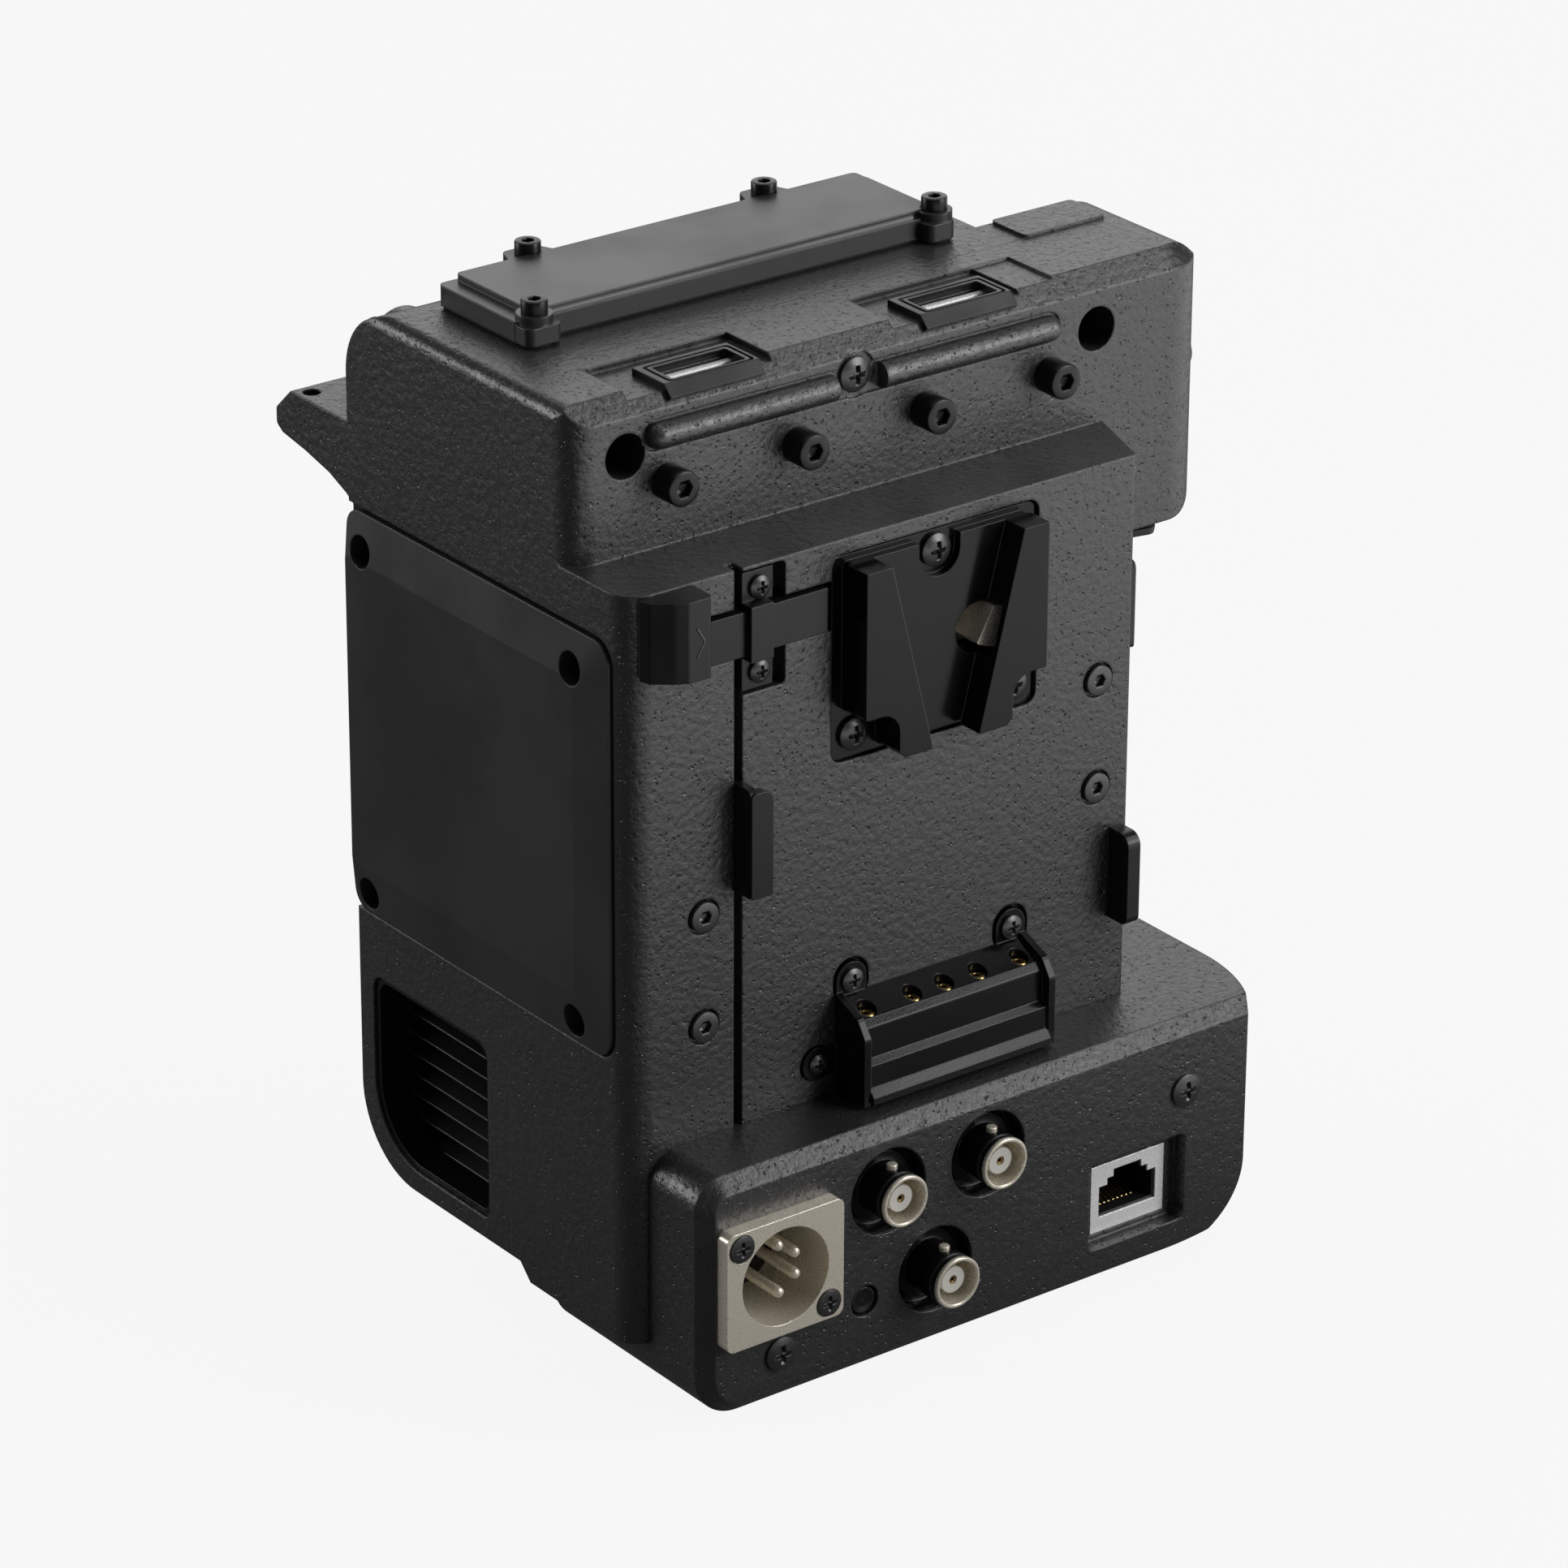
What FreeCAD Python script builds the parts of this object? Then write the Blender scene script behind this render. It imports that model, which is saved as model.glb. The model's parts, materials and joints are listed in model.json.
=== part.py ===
import FreeCAD, Part
import math
import os

V = FreeCAD.Vector
os.makedirs("parts", exist_ok=True)

# Rear extension unit of a professional video camera, in millimetres.
# Seen from the rear: +X is to the right, +Y points to the camera, +Z is up.
# The drawing starts at the base: x = 0 its middle, y = 0 its rear face, z = 0 its underside.
# The last step moves the assembly so the middle of its footprint is the origin.

# Driving sizes of the shells
BODY_LEFT = -64.5
BODY_RIGHT = 44.0
LEDGE_RIGHT = 48.7
LOWER_REAR = 15.5
UPPER_REAR = 31.0
SEAM = 51.3
WING_DEPTH = 9.7
WING_FRONT = SEAM + WING_DEPTH
FRONT = 97.0
CHEEK_BOTTOM = 10.0
BODY_BOTTOM = 13.0
LEDGE = 149.5
TOP = 177.4
WING_RIGHT = 74.0
WING_BOTTOM = 127.0
WING_CORNER = 10.0
WING_PAD = 0.6
TOP_BEVEL = 3.4
CHEEK_FRONT = SEAM - 2.9
BASE_LEFT = -60.5
BASE_RIGHT = 65.7
BASE_REAR_RIGHT = 60.0
BASE_FRONT = 44.0
BASE_TOP = 46.2
BASE_BEVEL = 2.6
BASE_LOW_ROUND = 9.0
BASE_TOP_ROUND = 5.5
BASE_RIGHT_ROUND = 15.0
WALL = 3.0
REAR_WALL = 10.0
BASE_WALL = 2.5
BASE_PANEL = 6.5
GAP = 0.3
FIT = 0.1

SHAPES = {}


def box(x0, x1, y0, y1, z0, z1):
    """A block from its two corners."""
    return Part.makeBox(x1 - x0, y1 - y0, z1 - z0, V(x0, y0, z0))


def joined(pieces):
    """One solid from overlapping pieces."""
    pieces = list(pieces)
    result = pieces[0]
    if len(pieces) > 1:
        result = pieces[0].fuse(pieces[1:])
    return result.removeSplitter()


def without(solid, tools):
    """A solid with the tools cut away."""
    return solid.cut(list(tools)).removeSplitter()


def lift(plane, level, u, v):
    """The point (u, v) of a sketch plane, at a level along the plane's normal."""
    if plane == "x":
        return V(level, u, v)
    if plane == "y":
        return V(u, level, v)
    return V(u, v, level)


def outline(plane, corners, level):
    """Closed outline with corners (u, v, radius) on one level of a plane."""
    edges = []
    points = []
    count = len(corners)
    for index in range(count):
        u, v, radius = corners[index]
        here = V(u, v, 0)
        back = V(*corners[index - 1][:2], 0) - here
        ahead = V(*corners[(index + 1) % count][:2], 0) - here
        back.normalize()
        ahead.normalize()
        if radius <= 0:
            points.append((here, here, here))
            continue
        half = back.getAngle(ahead) / 2
        reach = radius / math.tan(half)
        middle = back + ahead
        middle.normalize()
        crown = here + middle * (radius / math.sin(half) - radius)
        points.append((here + back * reach, crown, here + ahead * reach))
    for index in range(count):
        start, crown, end = [lift(plane, level, p.x, p.y) for p in points[index]]
        following = points[(index + 1) % count][0]
        following = lift(plane, level, following.x, following.y)
        if not start.isEqual(end, 1e-6):
            edges.append(Part.Arc(start, crown, end).toShape())
        if not end.isEqual(following, 1e-6):
            edges.append(Part.LineSegment(end, following).toShape())
    return Part.Wire(Part.__sortEdges__(edges))


def slab(plane, corners, low, high):
    """A plate with corners (u, v, radius), from low to high along the plane's normal."""
    face = Part.Face(outline(plane, corners, low))
    return face.extrude(lift(plane, high - low, 0, 0))


def bevelled(plane, narrow, low, wide, high):
    """A frustum between two outlines that have the same corners."""
    return Part.makeLoft([outline(plane, narrow, low), outline(plane, wide, high)], True, True)


def rounded(plane, u0, u1, v0, v1, radius, low, high):
    """A rectangular plate with four equal corner radii."""
    corners = [(u0, v0, radius), (u1, v0, radius), (u1, v1, radius), (u0, v1, radius)]
    return slab(plane, corners, low, high)


def turned(outline):
    """A turned piece about +Z from (height, radius) points that start and end on the axis."""
    wire = Part.makePolygon([V(radius, 0, height) for height, radius in outline + outline[:1]])
    return Part.Face(wire).revolve(V(0, 0, 0), V(0, 0, 1), 360)


OUT = {"rear": V(0, -1, 0), "front": V(0, 1, 0), "left": V(-1, 0, 0),
       "right": V(1, 0, 0), "up": V(0, 0, 1), "down": V(0, 0, -1)}


def placed(solid, x, y, z, facing):
    """A piece made about +Z, turned to face one way and moved to its place."""
    result = solid.copy()
    result.Placement = FreeCAD.Placement(V(x, y, z), FreeCAD.Rotation(V(0, 0, 1), OUT[facing]))
    return result


def rod(x, y, z, facing, diameter, length):
    """A round bar that starts at a point and runs the way it faces."""
    return placed(Part.makeCylinder(diameter / 2, length), x, y, z, facing)


def edge_cutter(axis, a, b, sign_a, sign_b, radius, low, high):
    """What a round of one radius takes off a straight outer corner at (a, b)."""
    inner_a = a - sign_a * radius
    inner_b = b - sign_b * radius
    over = 1.0
    spans = sorted([inner_a, a + sign_a * over]), sorted([inner_b, b + sign_b * over])
    corners = [(spans[0][0], spans[1][0], 0), (spans[0][1], spans[1][0], 0),
               (spans[0][1], spans[1][1], 0), (spans[0][0], spans[1][1], 0)]
    block = slab(axis, corners, low, high)
    start = lift(axis, low, inner_a, inner_b)
    return block.cut(Part.makeCylinder(radius, high - low, start, lift(axis, 1, 0, 0)))


def cross_screw(head, height, shank, length):
    """A cross-head screw about +Z with the underside of its head at zero."""
    rim = height * 0.3
    body = turned([(-length, 0), (-length, shank / 2), (0, shank / 2), (0, head / 2),
                   (height - rim, head / 2), (height, head / 2 - rim), (height, 0)])
    arm = head * 0.45
    slot = head * 0.12
    depth = height * 0.6
    bars = [box(-arm / 2, arm / 2, -slot / 2, slot / 2, height - depth, height + 1),
            box(-slot / 2, slot / 2, -arm / 2, arm / 2, height - depth, height + 1)]
    return without(body, bars)


def socket_screw(head, height, shank, length, key):
    """A hex-socket screw about +Z with the underside of its head at zero."""
    rim = height * 0.15
    body = turned([(-length, 0), (-length, shank / 2), (0, shank / 2), (0, head / 2),
                   (height - rim, head / 2), (height, head / 2 - rim), (height, 0)])
    corners = []
    for step in range(6):
        angle = math.radians(60 * step)
        corners.append((key / math.sqrt(3) * math.cos(angle), key / math.sqrt(3) * math.sin(angle), 0))
    return without(body, [slab("z", corners, height * 0.4, height + 1)])


def coil(diameter, wire, length, turns):
    """A coil spring about +Z that starts at zero."""
    radius = (diameter - wire) / 2
    path = Part.makeHelix((length - wire) / turns, length - wire, radius)
    ring = Part.Wire(Part.makeCircle(wire / 2, V(radius, 0, 0), V(0, 1, 0)))
    spring = Part.Wire(path).makePipeShell([ring], True, True)
    spring.translate(V(0, 0, wire / 2))
    return spring


def add(name, pieces):
    """Keep one node as a single solid or as a group of separate solids."""
    if not isinstance(pieces, list):
        pieces = [pieces]
    SHAPES[name] = pieces


# Battery lock: the receiver's wings, its pocket, the release bar and the latch
V_DROP = 4.5
V_HEIGHT = 34.8
V_TOP = LEDGE - V_DROP
V_BOTTOM = V_TOP - V_HEIGHT
V_HALF = 19.5
V_MOUTH = 14.15
V_THROAT = 5.0
V_FRONT = 9.3
V_PLATE = 14.6
V_FLANGE = 16.2
V_RIM = 2.2
POCKET = (-V_HALF - V_RIM - 2 * GAP, V_HALF + V_RIM + 2 * GAP, V_BOTTOM - 1.6, V_TOP + 1.8)
POCKET_FLOOR = LOWER_REAR + 4.0
LOCK_FLOOR = POCKET_FLOOR + 3.0
RECEIVER_SCREWS = [(0.0, V_TOP - 2.4), (2.3 - V_HALF, V_BOTTOM + 3.0), (V_HALF - 2.3, V_BOTTOM + 3.0)]
SLIDE_TRAVEL = 4.0
SLIDER_DROP = 11.5
SLIDER_Z = LEDGE - SLIDER_DROP
BAR_FACE = 14.5
CHANNEL_HALF = 4.5
LATCH_DROP = 11.4
LATCH_Z = SLIDER_Z - LATCH_DROP
LATCH_X = 8.2
LATCH_HOLE = 4.6
LATCH_FOOT = (3.3, 13.8)
KEEPER_X = (-41.7, -31.9)
KEEPER_REACH = 11.0
KEEPER_SCREWS = [(-37.1, LEDGE - 4.3), (-37.1, SLIDER_Z - 8.0)]

# Upper block: long bolts, rib, shell screws, standoffs and the two hook slots
MOUNTING_BOLTS = [(-53.4, 167.3, FRONT), (46.9, 167.0, WING_FRONT)]
DEEP_HOLE = 8.1
BOLT_THREAD = 4.0
BOLT_NECK = 3.2
RIB_Z = 169.6
RIB_Y = UPPER_REAR - 0.3
RIB_RADIUS = 2.3
RIB_ENDS = (-49.3, 38.3)
RIB_GROOVE = 0.6
RIB_SCREW_GAP = 5.0
RIB_SCREW_X = -5.6
RIB_SCREW_Z = 170.7
WING_SCREW = (53.3, 138.4)
SHELL_SCREW_BITE = 6.7
SIDE_SCREW = (41.0, 154.0)
STANDOFF_PITCH = 27.1
STANDOFF_LENGTH = 5.0
STANDOFF_WIDTH = 6.4
STANDOFF_SHANK = 4.0
STANDOFFS = [(-44.9 + STANDOFF_PITCH * step, LEDGE + 11.55) for step in range(4)]
INSETS = [(-44.0, -24.5), (9.7, 29.3)]
INSET_DEPTH = 1.3
INSET_FRONT = 46.0
INSET_POCKETS = [(-51.4, -21.6, INSET_DEPTH), (4.0, 31.3, INSET_DEPTH), (31.0, 39.2, 0.5)]
INSET_OPENING = (15.2, 6.1)
INSET_OPENING_Y = 34.0
INSET_SHIFT = 0.35
BAR_WIDTH = 1.8

# Lower block: recessed screws, battery guides and terminals
RECESSED = [(-48.9, 88.0), (-48.9, 67.4), (36.2, 109.1), (36.2, 88.6)]
LUG_GROOVE = (-42.6, -40.8)
LUG_DEPTH = 3.0
LEFT_LUG_PINS = (96.0, 106.0)
RIGHT_LUG_PINS = (67.0, 75.0)
LUG_PIN_X = (-41.7, 41.0)
TERMINAL_EARS = [(-17.5, 67.1), (17.5, 67.1)]
TERMINAL_HALF = 21.0
TERMINAL_PLUG = (16.0, 51.5, 59.5)
TERMINAL_SIDE_SCREW = (-25.0, 53.2)
CONTACTS_X = [-16.9, -7.0, 0.0, 7.4, 16.6]
CONTACT_Y = 10.2

# Left side: cover with four screw cups, ventilation opening and fan
COVER_Y = (20.1, FRONT)
COVER_Z = (63.7, 140.0)
COVER_SCREWS = [(y, z) for y in (30.0, 92.0) for z in (67.7, 132.9)]
COVER_POCKET = BODY_LEFT + 1.5
GASKET_FACE = COVER_POCKET - 0.8
COVER_FACE = BODY_LEFT - 1.5
COVER_BORDER = 9.0
CUP = 7.2
CUP_BORE = 6.0
CUP_END = COVER_POCKET + 4.0
CUP_SEAT = CUP_END - 1.2
BOSS_END = BODY_LEFT + 10.0
VENT_Y = (57.5, 93.0)
VENT_Z = (17.0, 51.5)
VENT_FACE = BODY_LEFT + 0.6
VENT_DEPTH = 12.5
VENT_WALL = 1.0
SLAT_START = 5.9
SLAT_COUNT = 8
FAN_CENTRE = ((VENT_Y[0] + VENT_Y[1]) / 2, (VENT_Z[0] + VENT_Z[1]) / 2 + 2.0)
FAN_X = VENT_FACE + VENT_DEPTH + GAP
FAN_DEPTH = 10.0
FAN_SIDE = 30.0

# Top lid, its screws and the tray under it
SLOT_X = (-53.7, 37.4)
SLOT_Y = (61.0, 84.5)
SLOT_RISE = 5.5
SLOT_TOP = TOP + SLOT_RISE
SLOT_SCREWS = [(-50.0, 61.4, 0.2), (35.0, 61.4, 0.2), (-34.0, 86.0, 0.6), (16.5, 86.0, 0.6)]
SLOT_BAY = (-44.0, 28.0, 63.5, 82.0)
BAY_DEPTH = 26.0

# Base: connectors, their screws and the boards behind them
INLET = (-45.15, 26.1)
HALF_FLANGE = (12.45, 11.3)
FLANGE_THICK = 2.8
INLET_SCREWS = [(INLET[0] - 9.3, INLET[1] + 8.2), (INLET[0] + 9.3, INLET[1] - 8.2)]
PIN_RING = 4.6
PIN_ANGLES = (84, 28, -26, -82)
PIN_TIP = 0.7
PIN_LENGTH = 20.2
COAX = [(-20.9, 33.6, 5.0), (1.0, 34.0, 5.0), (-10.4, 15.0, 6.6)]
NETWORK_X = (27.05, 43.75)
NETWORK_Z = (8.2, 21.45)
NETWORK_Y = 3.0
NETWORK_BACK = 17.4
RESET = (-25.85, 13.7)
BASE_SCREWS = [(-44.15, 9.6), (45.75, 32.7)]
BASE_JOINS = [(-30.0, 31.0), (30.0, 31.0)]
BULKHEAD_SCREWS = [(-55.0, 38.0), (60.0, 39.0), (-48.0, 6.5), (44.0, 6.0)]
BRACKET = 2.0
BOARD_PILLARS = [(12.0, 12.0), (20.0, 38.0), (52.0, 20.0)]
BOARD_Y = 42.5
BOARD_THICK = 1.6

# Front face: plate opening and arm; underside of the wing: cable hook
FRONT_OPENING = (-28.0, 30.0, 62.0, 152.0)
FRONT_LIP = 6.0
FRONT_SCREWS = [(x, z) for x in (-31.0, 33.0) for z in (72.0, 142.0)]
ARM_X = (-58.7, -34.0)
ARM_SCREWS_X = (-50.5, -40.0)
ARM_SCREW_Z = 139.0
ARM_TOP = ARM_SCREW_Z + 12.0
ARM_REACH = 31.2
ARM_HOLE = (-56.05, FRONT + 23.8)
ARM_UNDERSIDE = [(0, 21.0), (5.0, 16.4), (9.7, 13.6), (14.9, 11.5), (22.2, 9.8), (29.4, 8.6)]
INTERFACE = (-25.0, 9.0, 84.0, 96.0)
HOOK_X = 53.0
HOOK_SCREWS_Y = (36.5, 42.0)


def wing_block(y0, y1, inset):
    """The side wing with its round corners, or the space inside it when inset."""
    left = BODY_RIGHT - 10
    corners = [(left, WING_BOTTOM + inset, 0), (WING_RIGHT - inset, WING_BOTTOM + inset, 9 - inset),
               (WING_RIGHT - inset, TOP - inset, 8.5 - inset), (left, TOP - inset, 0)]
    return slab("y", corners, y0, y1)


def top_bevel():
    """What the bevel takes off the top rear edge, straight and then round the wing's corner."""
    profile = [(-1, -TOP_BEVEL - 1), (0, -TOP_BEVEL), (TOP_BEVEL, 0), (TOP_BEVEL + 1, 1), (-1, 1)]
    turn_x = WING_RIGHT - WING_CORNER
    straight = slab("x", [(UPPER_REAR + u, TOP + v, 0) for u, v in profile], BODY_LEFT - 1, turn_x)
    wire = Part.makePolygon([V(turn_x, UPPER_REAR + u, TOP + v) for u, v in profile + profile[:1]])
    turn = Part.Face(wire).revolve(V(turn_x, UPPER_REAR + WING_CORNER, 0), V(0, 0, 1), 90)
    return [straight, turn]


def rear_outer():
    """The outside of the rear shell, before pockets and holes."""
    lower = slab("z", [(BODY_LEFT, LOWER_REAR, 5), (43.5, LOWER_REAR, 0.8), (LEDGE_RIGHT, UPPER_REAR, 0),
                       (BODY_RIGHT, SEAM, 0), (BODY_LEFT, SEAM, 0)], CHEEK_BOTTOM, LEDGE)
    upper = slab("z", [(BODY_LEFT, UPPER_REAR, 5), (BODY_RIGHT, UPPER_REAR, 0),
                       (BODY_RIGHT, SEAM, 0), (BODY_LEFT, SEAM, 0)], LEDGE - 20, TOP)
    solid = joined([lower, upper, wing_block(UPPER_REAR, SEAM, 0)])
    step = BODY_BOTTOM - CHEEK_BOTTOM
    chin = slab("x", [(CHEEK_FRONT - step - 1, CHEEK_BOTTOM - 1, 0), (CHEEK_FRONT, BODY_BOTTOM, 0),
                      (SEAM + 1, BODY_BOTTOM, 0), (SEAM + 1, CHEEK_BOTTOM - 1, 0)],
                BODY_LEFT - 1, LEDGE_RIGHT + 1)
    base_room = slab("y", [(BASE_LEFT, CHEEK_BOTTOM - 1, 0), (BODY_RIGHT + 9, CHEEK_BOTTOM - 1, 0),
                           (BODY_RIGHT + 9, BASE_TOP, 0), (BASE_LEFT, BASE_TOP, BASE_TOP_ROUND)],
                     LOWER_REAR - 1, BASE_FRONT)
    cuts = top_bevel() + [chin, base_room]
    cuts.append(edge_cutter("z", WING_RIGHT, UPPER_REAR, 1, -1, WING_CORNER, WING_BOTTOM - 1, TOP + 1))
    cuts.append(edge_cutter("y", BODY_LEFT, TOP, -1, 1, 2.5, UPPER_REAR - 1, SEAM + 1))
    return without(solid, cuts)


def cover_pocket():
    """The shallow pocket in the left side that seats the cover and its seal."""
    corners = [(COVER_Y[0] - 0.5, COVER_Z[0] - 0.5, 4.5), (FRONT + 1, COVER_Z[0] - 0.5, 0),
               (FRONT + 1, COVER_Z[1] + 0.5, 0), (COVER_Y[0] - 0.5, COVER_Z[1] + 0.5, 4.5)]
    return slab("x", corners, BODY_LEFT - 1, COVER_POCKET)


def cover_screw_holes():
    """Pockets for the cover's screw cups, with threaded holes behind them."""
    cups = [rod(COVER_POCKET - 1, y, z, "right", CUP + 2 * FIT, CUP_END + FIT - COVER_POCKET + 1)
            for y, z in COVER_SCREWS]
    return cups + [rod(CUP_SEAT, y, z, "right", 3.0, BOSS_END - 0.7 - CUP_SEAT) for y, z in COVER_SCREWS]


def cover_bosses(front):
    """Bosses behind the cover's screws in the front or in the rear shell."""
    start = BODY_LEFT + 1
    return [rod(start, y, z, "right", CUP + 2.4, BOSS_END - start)
            for y, z in COVER_SCREWS if (y > SEAM) == front]


def inset_middle(span):
    """Middle of the opening in one hook slot's frame."""
    return (span[0] + span[1]) / 2 + INSET_SHIFT


def inset_pockets():
    """Shallow pockets in the top rear edge, and the slots under the two frames."""
    tools = [box(x0, x1, UPPER_REAR - 1, INSET_FRONT, TOP - depth, TOP + 1)
             for x0, x1, depth in INSET_POCKETS]
    half = INSET_OPENING[0] / 2
    for span in INSETS:
        middle = inset_middle(span)
        tools.append(box(middle - half, middle + half, INSET_OPENING_Y,
                         INSET_OPENING_Y + INSET_OPENING[1], TOP - 8.0, TOP))
    return tools


def lock_pockets():
    """Pocket for the lock receiver and the channels the lock parts slide in."""
    x0, x1, z0, z1 = POCKET
    low = SLIDER_Z - CHANNEL_HALF
    high = SLIDER_Z + CHANNEL_HALF
    end = LATCH_FOOT[1] + SLIDE_TRAVEL + 1.7
    return [rounded("y", x0, x1, z0, z1, 2.5, LOWER_REAR - 1, POCKET_FLOOR),
            box(-59.5, x0 + 1, LOWER_REAR - 1, POCKET_FLOOR + FIT, low, high),
            box(-31.0, end, POCKET_FLOOR - 1, LOCK_FLOOR, low, high),
            box(LATCH_FOOT[0] - GAP, end, POCKET_FLOOR - 1, LOCK_FLOOR, LATCH_Z - 4.8, high),
            box(-12.0, LATCH_FOOT[0] + 1, POCKET_FLOOR - 1, LOCK_FLOOR, LATCH_Z - 3.1, LATCH_Z + 1.9),
            box(-56.0, -34.0, POCKET_FLOOR - 1, POCKET_FLOOR + 4.2, SLIDER_Z - 2.2, SLIDER_Z + 2.2),
            rounded("y", KEEPER_X[0], KEEPER_X[1], SLIDER_Z - KEEPER_REACH - 0.5, LEDGE - 0.6, 1.0,
                    LOWER_REAR - 1, POCKET_FLOOR - 0.5),
            box(LUG_GROOVE[0], LUG_GROOVE[1], LOWER_REAR - 1, LOWER_REAR + LUG_DEPTH, BASE_TOP, LEDGE + 1)]


def terminal_pockets():
    """Half-moon pockets beside the ears of the terminal block, and its rear opening."""
    tools = [rounded("y", x - 3.9, x + 3.9, z - 4.6, z + 4.2, 3.8, LOWER_REAR - 1, LOWER_REAR + 2.0)
             for x, z in TERMINAL_EARS]
    half, low, high = TERMINAL_PLUG
    tools.append(box(-half, half, LOWER_REAR - 1, LOWER_REAR + REAR_WALL + 1, low, high))
    x, z = TERMINAL_SIDE_SCREW
    tools.append(rod(x, LOWER_REAR - 1, z, "front", 6.6, 2.0))
    return tools


def screw_bores(places, y, diameter, length):
    """Round holes that run to the front from a rear face."""
    return [rod(x, y, z, "front", diameter, length) for x, z in places]


def rib_bars():
    """The half-round rib in two lengths, each with a round outer and a square inner end."""
    bars = []
    for outer, inward in ((RIB_ENDS[0], 1), (RIB_ENDS[1], -1)):
        start = outer + inward * RIB_RADIUS
        inner = RIB_SCREW_X - inward * RIB_SCREW_GAP
        bars.append(rod(min(start, inner), RIB_Y, RIB_Z, "right", 2 * RIB_RADIUS, abs(inner - start)))
        bars.append(Part.makeSphere(RIB_RADIUS, V(start, RIB_Y, RIB_Z)))
    return bars


def rib_groove():
    """Narrow groove that the rib stands in."""
    reach = RIB_RADIUS + 0.5
    return rounded("y", RIB_ENDS[0] - 0.5, RIB_ENDS[1] + 0.5, RIB_Z - reach, RIB_Z + reach,
                   reach - 0.1, UPPER_REAR - 1, UPPER_REAR + RIB_GROOVE)


def rear_housing():
    """Cast rear shell with the upper block, the wing and the half-round rib."""
    left = BODY_LEFT + WALL
    right = BODY_RIGHT - WALL
    inside = [box(left, right, LOWER_REAR + REAR_WALL, SEAM + 1, BASE_TOP + WALL, LEDGE - WALL),
              box(left, right, BASE_FRONT, SEAM + 1, BODY_BOTTOM + WALL, BASE_TOP + 2 * WALL),
              box(left, right, UPPER_REAR + 4, SEAM + 1, LEDGE - 9.5, TOP - 9),
              box(left, right, BASE_FRONT, SEAM + 1, LEDGE - 9.5, TOP - WALL - INSET_DEPTH),
              wing_block(UPPER_REAR + 4, SEAM + 1, WALL)]
    shell = without(rear_outer(), inside + [rib_groove()])
    depth = SEAM - UPPER_REAR - 1
    bosses = [rod(x, UPPER_REAR + 1, z, "front", DEEP_HOLE + 5, depth) for x, z, _ in MOUNTING_BOLTS]
    bosses.append(rod(RIB_SCREW_X, UPPER_REAR + 1, RIB_SCREW_Z, "front", 9, depth))
    bosses.append(rod(WING_SCREW[0], UPPER_REAR + 1, WING_SCREW[1], "front", 8, depth))
    bosses += [rod(x, UPPER_REAR + 1, z, "front", STANDOFF_SHANK + 4, 9) for x, z in STANDOFFS]
    bosses += cover_bosses(False)
    bosses += [rod(WING_RIGHT - 1, SIDE_SCREW[0], SIDE_SCREW[1], "left", 8, 7)]
    shell = joined([shell] + bosses + rib_bars())
    deep = [(x, z) for x, z, _ in MOUNTING_BOLTS]
    rib_screw = [(RIB_SCREW_X, RIB_SCREW_Z)]
    cuts = [cover_pocket()] + cover_screw_holes() + inset_pockets() + lock_pockets()
    cuts += terminal_pockets()
    cuts += screw_bores(deep, UPPER_REAR - 1, DEEP_HOLE, SEAM - UPPER_REAR + 2)
    cuts += screw_bores(rib_screw + [WING_SCREW], UPPER_REAR - 1, 3.2, 30)
    cuts += screw_bores(rib_screw, UPPER_REAR - 4, 8.4, 4 + RIB_GROOVE)
    cuts += screw_bores(STANDOFFS, UPPER_REAR - 1, STANDOFF_SHANK, 9)
    cuts += screw_bores(RECESSED, LOWER_REAR - 1, 6.6, 2.2)
    cuts += screw_bores(RECESSED, LOWER_REAR, 3.2, REAR_WALL + 1)
    cuts += screw_bores(TERMINAL_EARS, LOWER_REAR + 1, 2.5, 7)
    cuts += screw_bores([TERMINAL_SIDE_SCREW], LOWER_REAR, 2.0, 6)
    cuts += screw_bores(KEEPER_SCREWS, LOWER_REAR + 1, 2.5, 7.5)
    cuts += screw_bores(RECEIVER_SCREWS, LOWER_REAR + 1, 3.0, REAR_WALL)
    cuts += [rod(WING_RIGHT + 1, SIDE_SCREW[0], SIDE_SCREW[1], "left", 3.0, 8)]
    cuts += [rod(x, y, BASE_TOP - 1, "up", 3.2, 5) for x, y in BASE_JOINS]
    cuts += [rod(HOOK_X, y, WING_BOTTOM - 1, "up", 2.0, 6) for y in HOOK_SCREWS_Y]
    cuts += [rod(LUG_PIN_X[0], LOWER_REAR + 2, z, "front", 2.0, 5.2) for z in LEFT_LUG_PINS]
    cuts += [rod(LUG_PIN_X[1], LOWER_REAR - 1, z, "front", 2.0, 5.2) for z in RIGHT_LUG_PINS]
    return without(shell, cuts)


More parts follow.
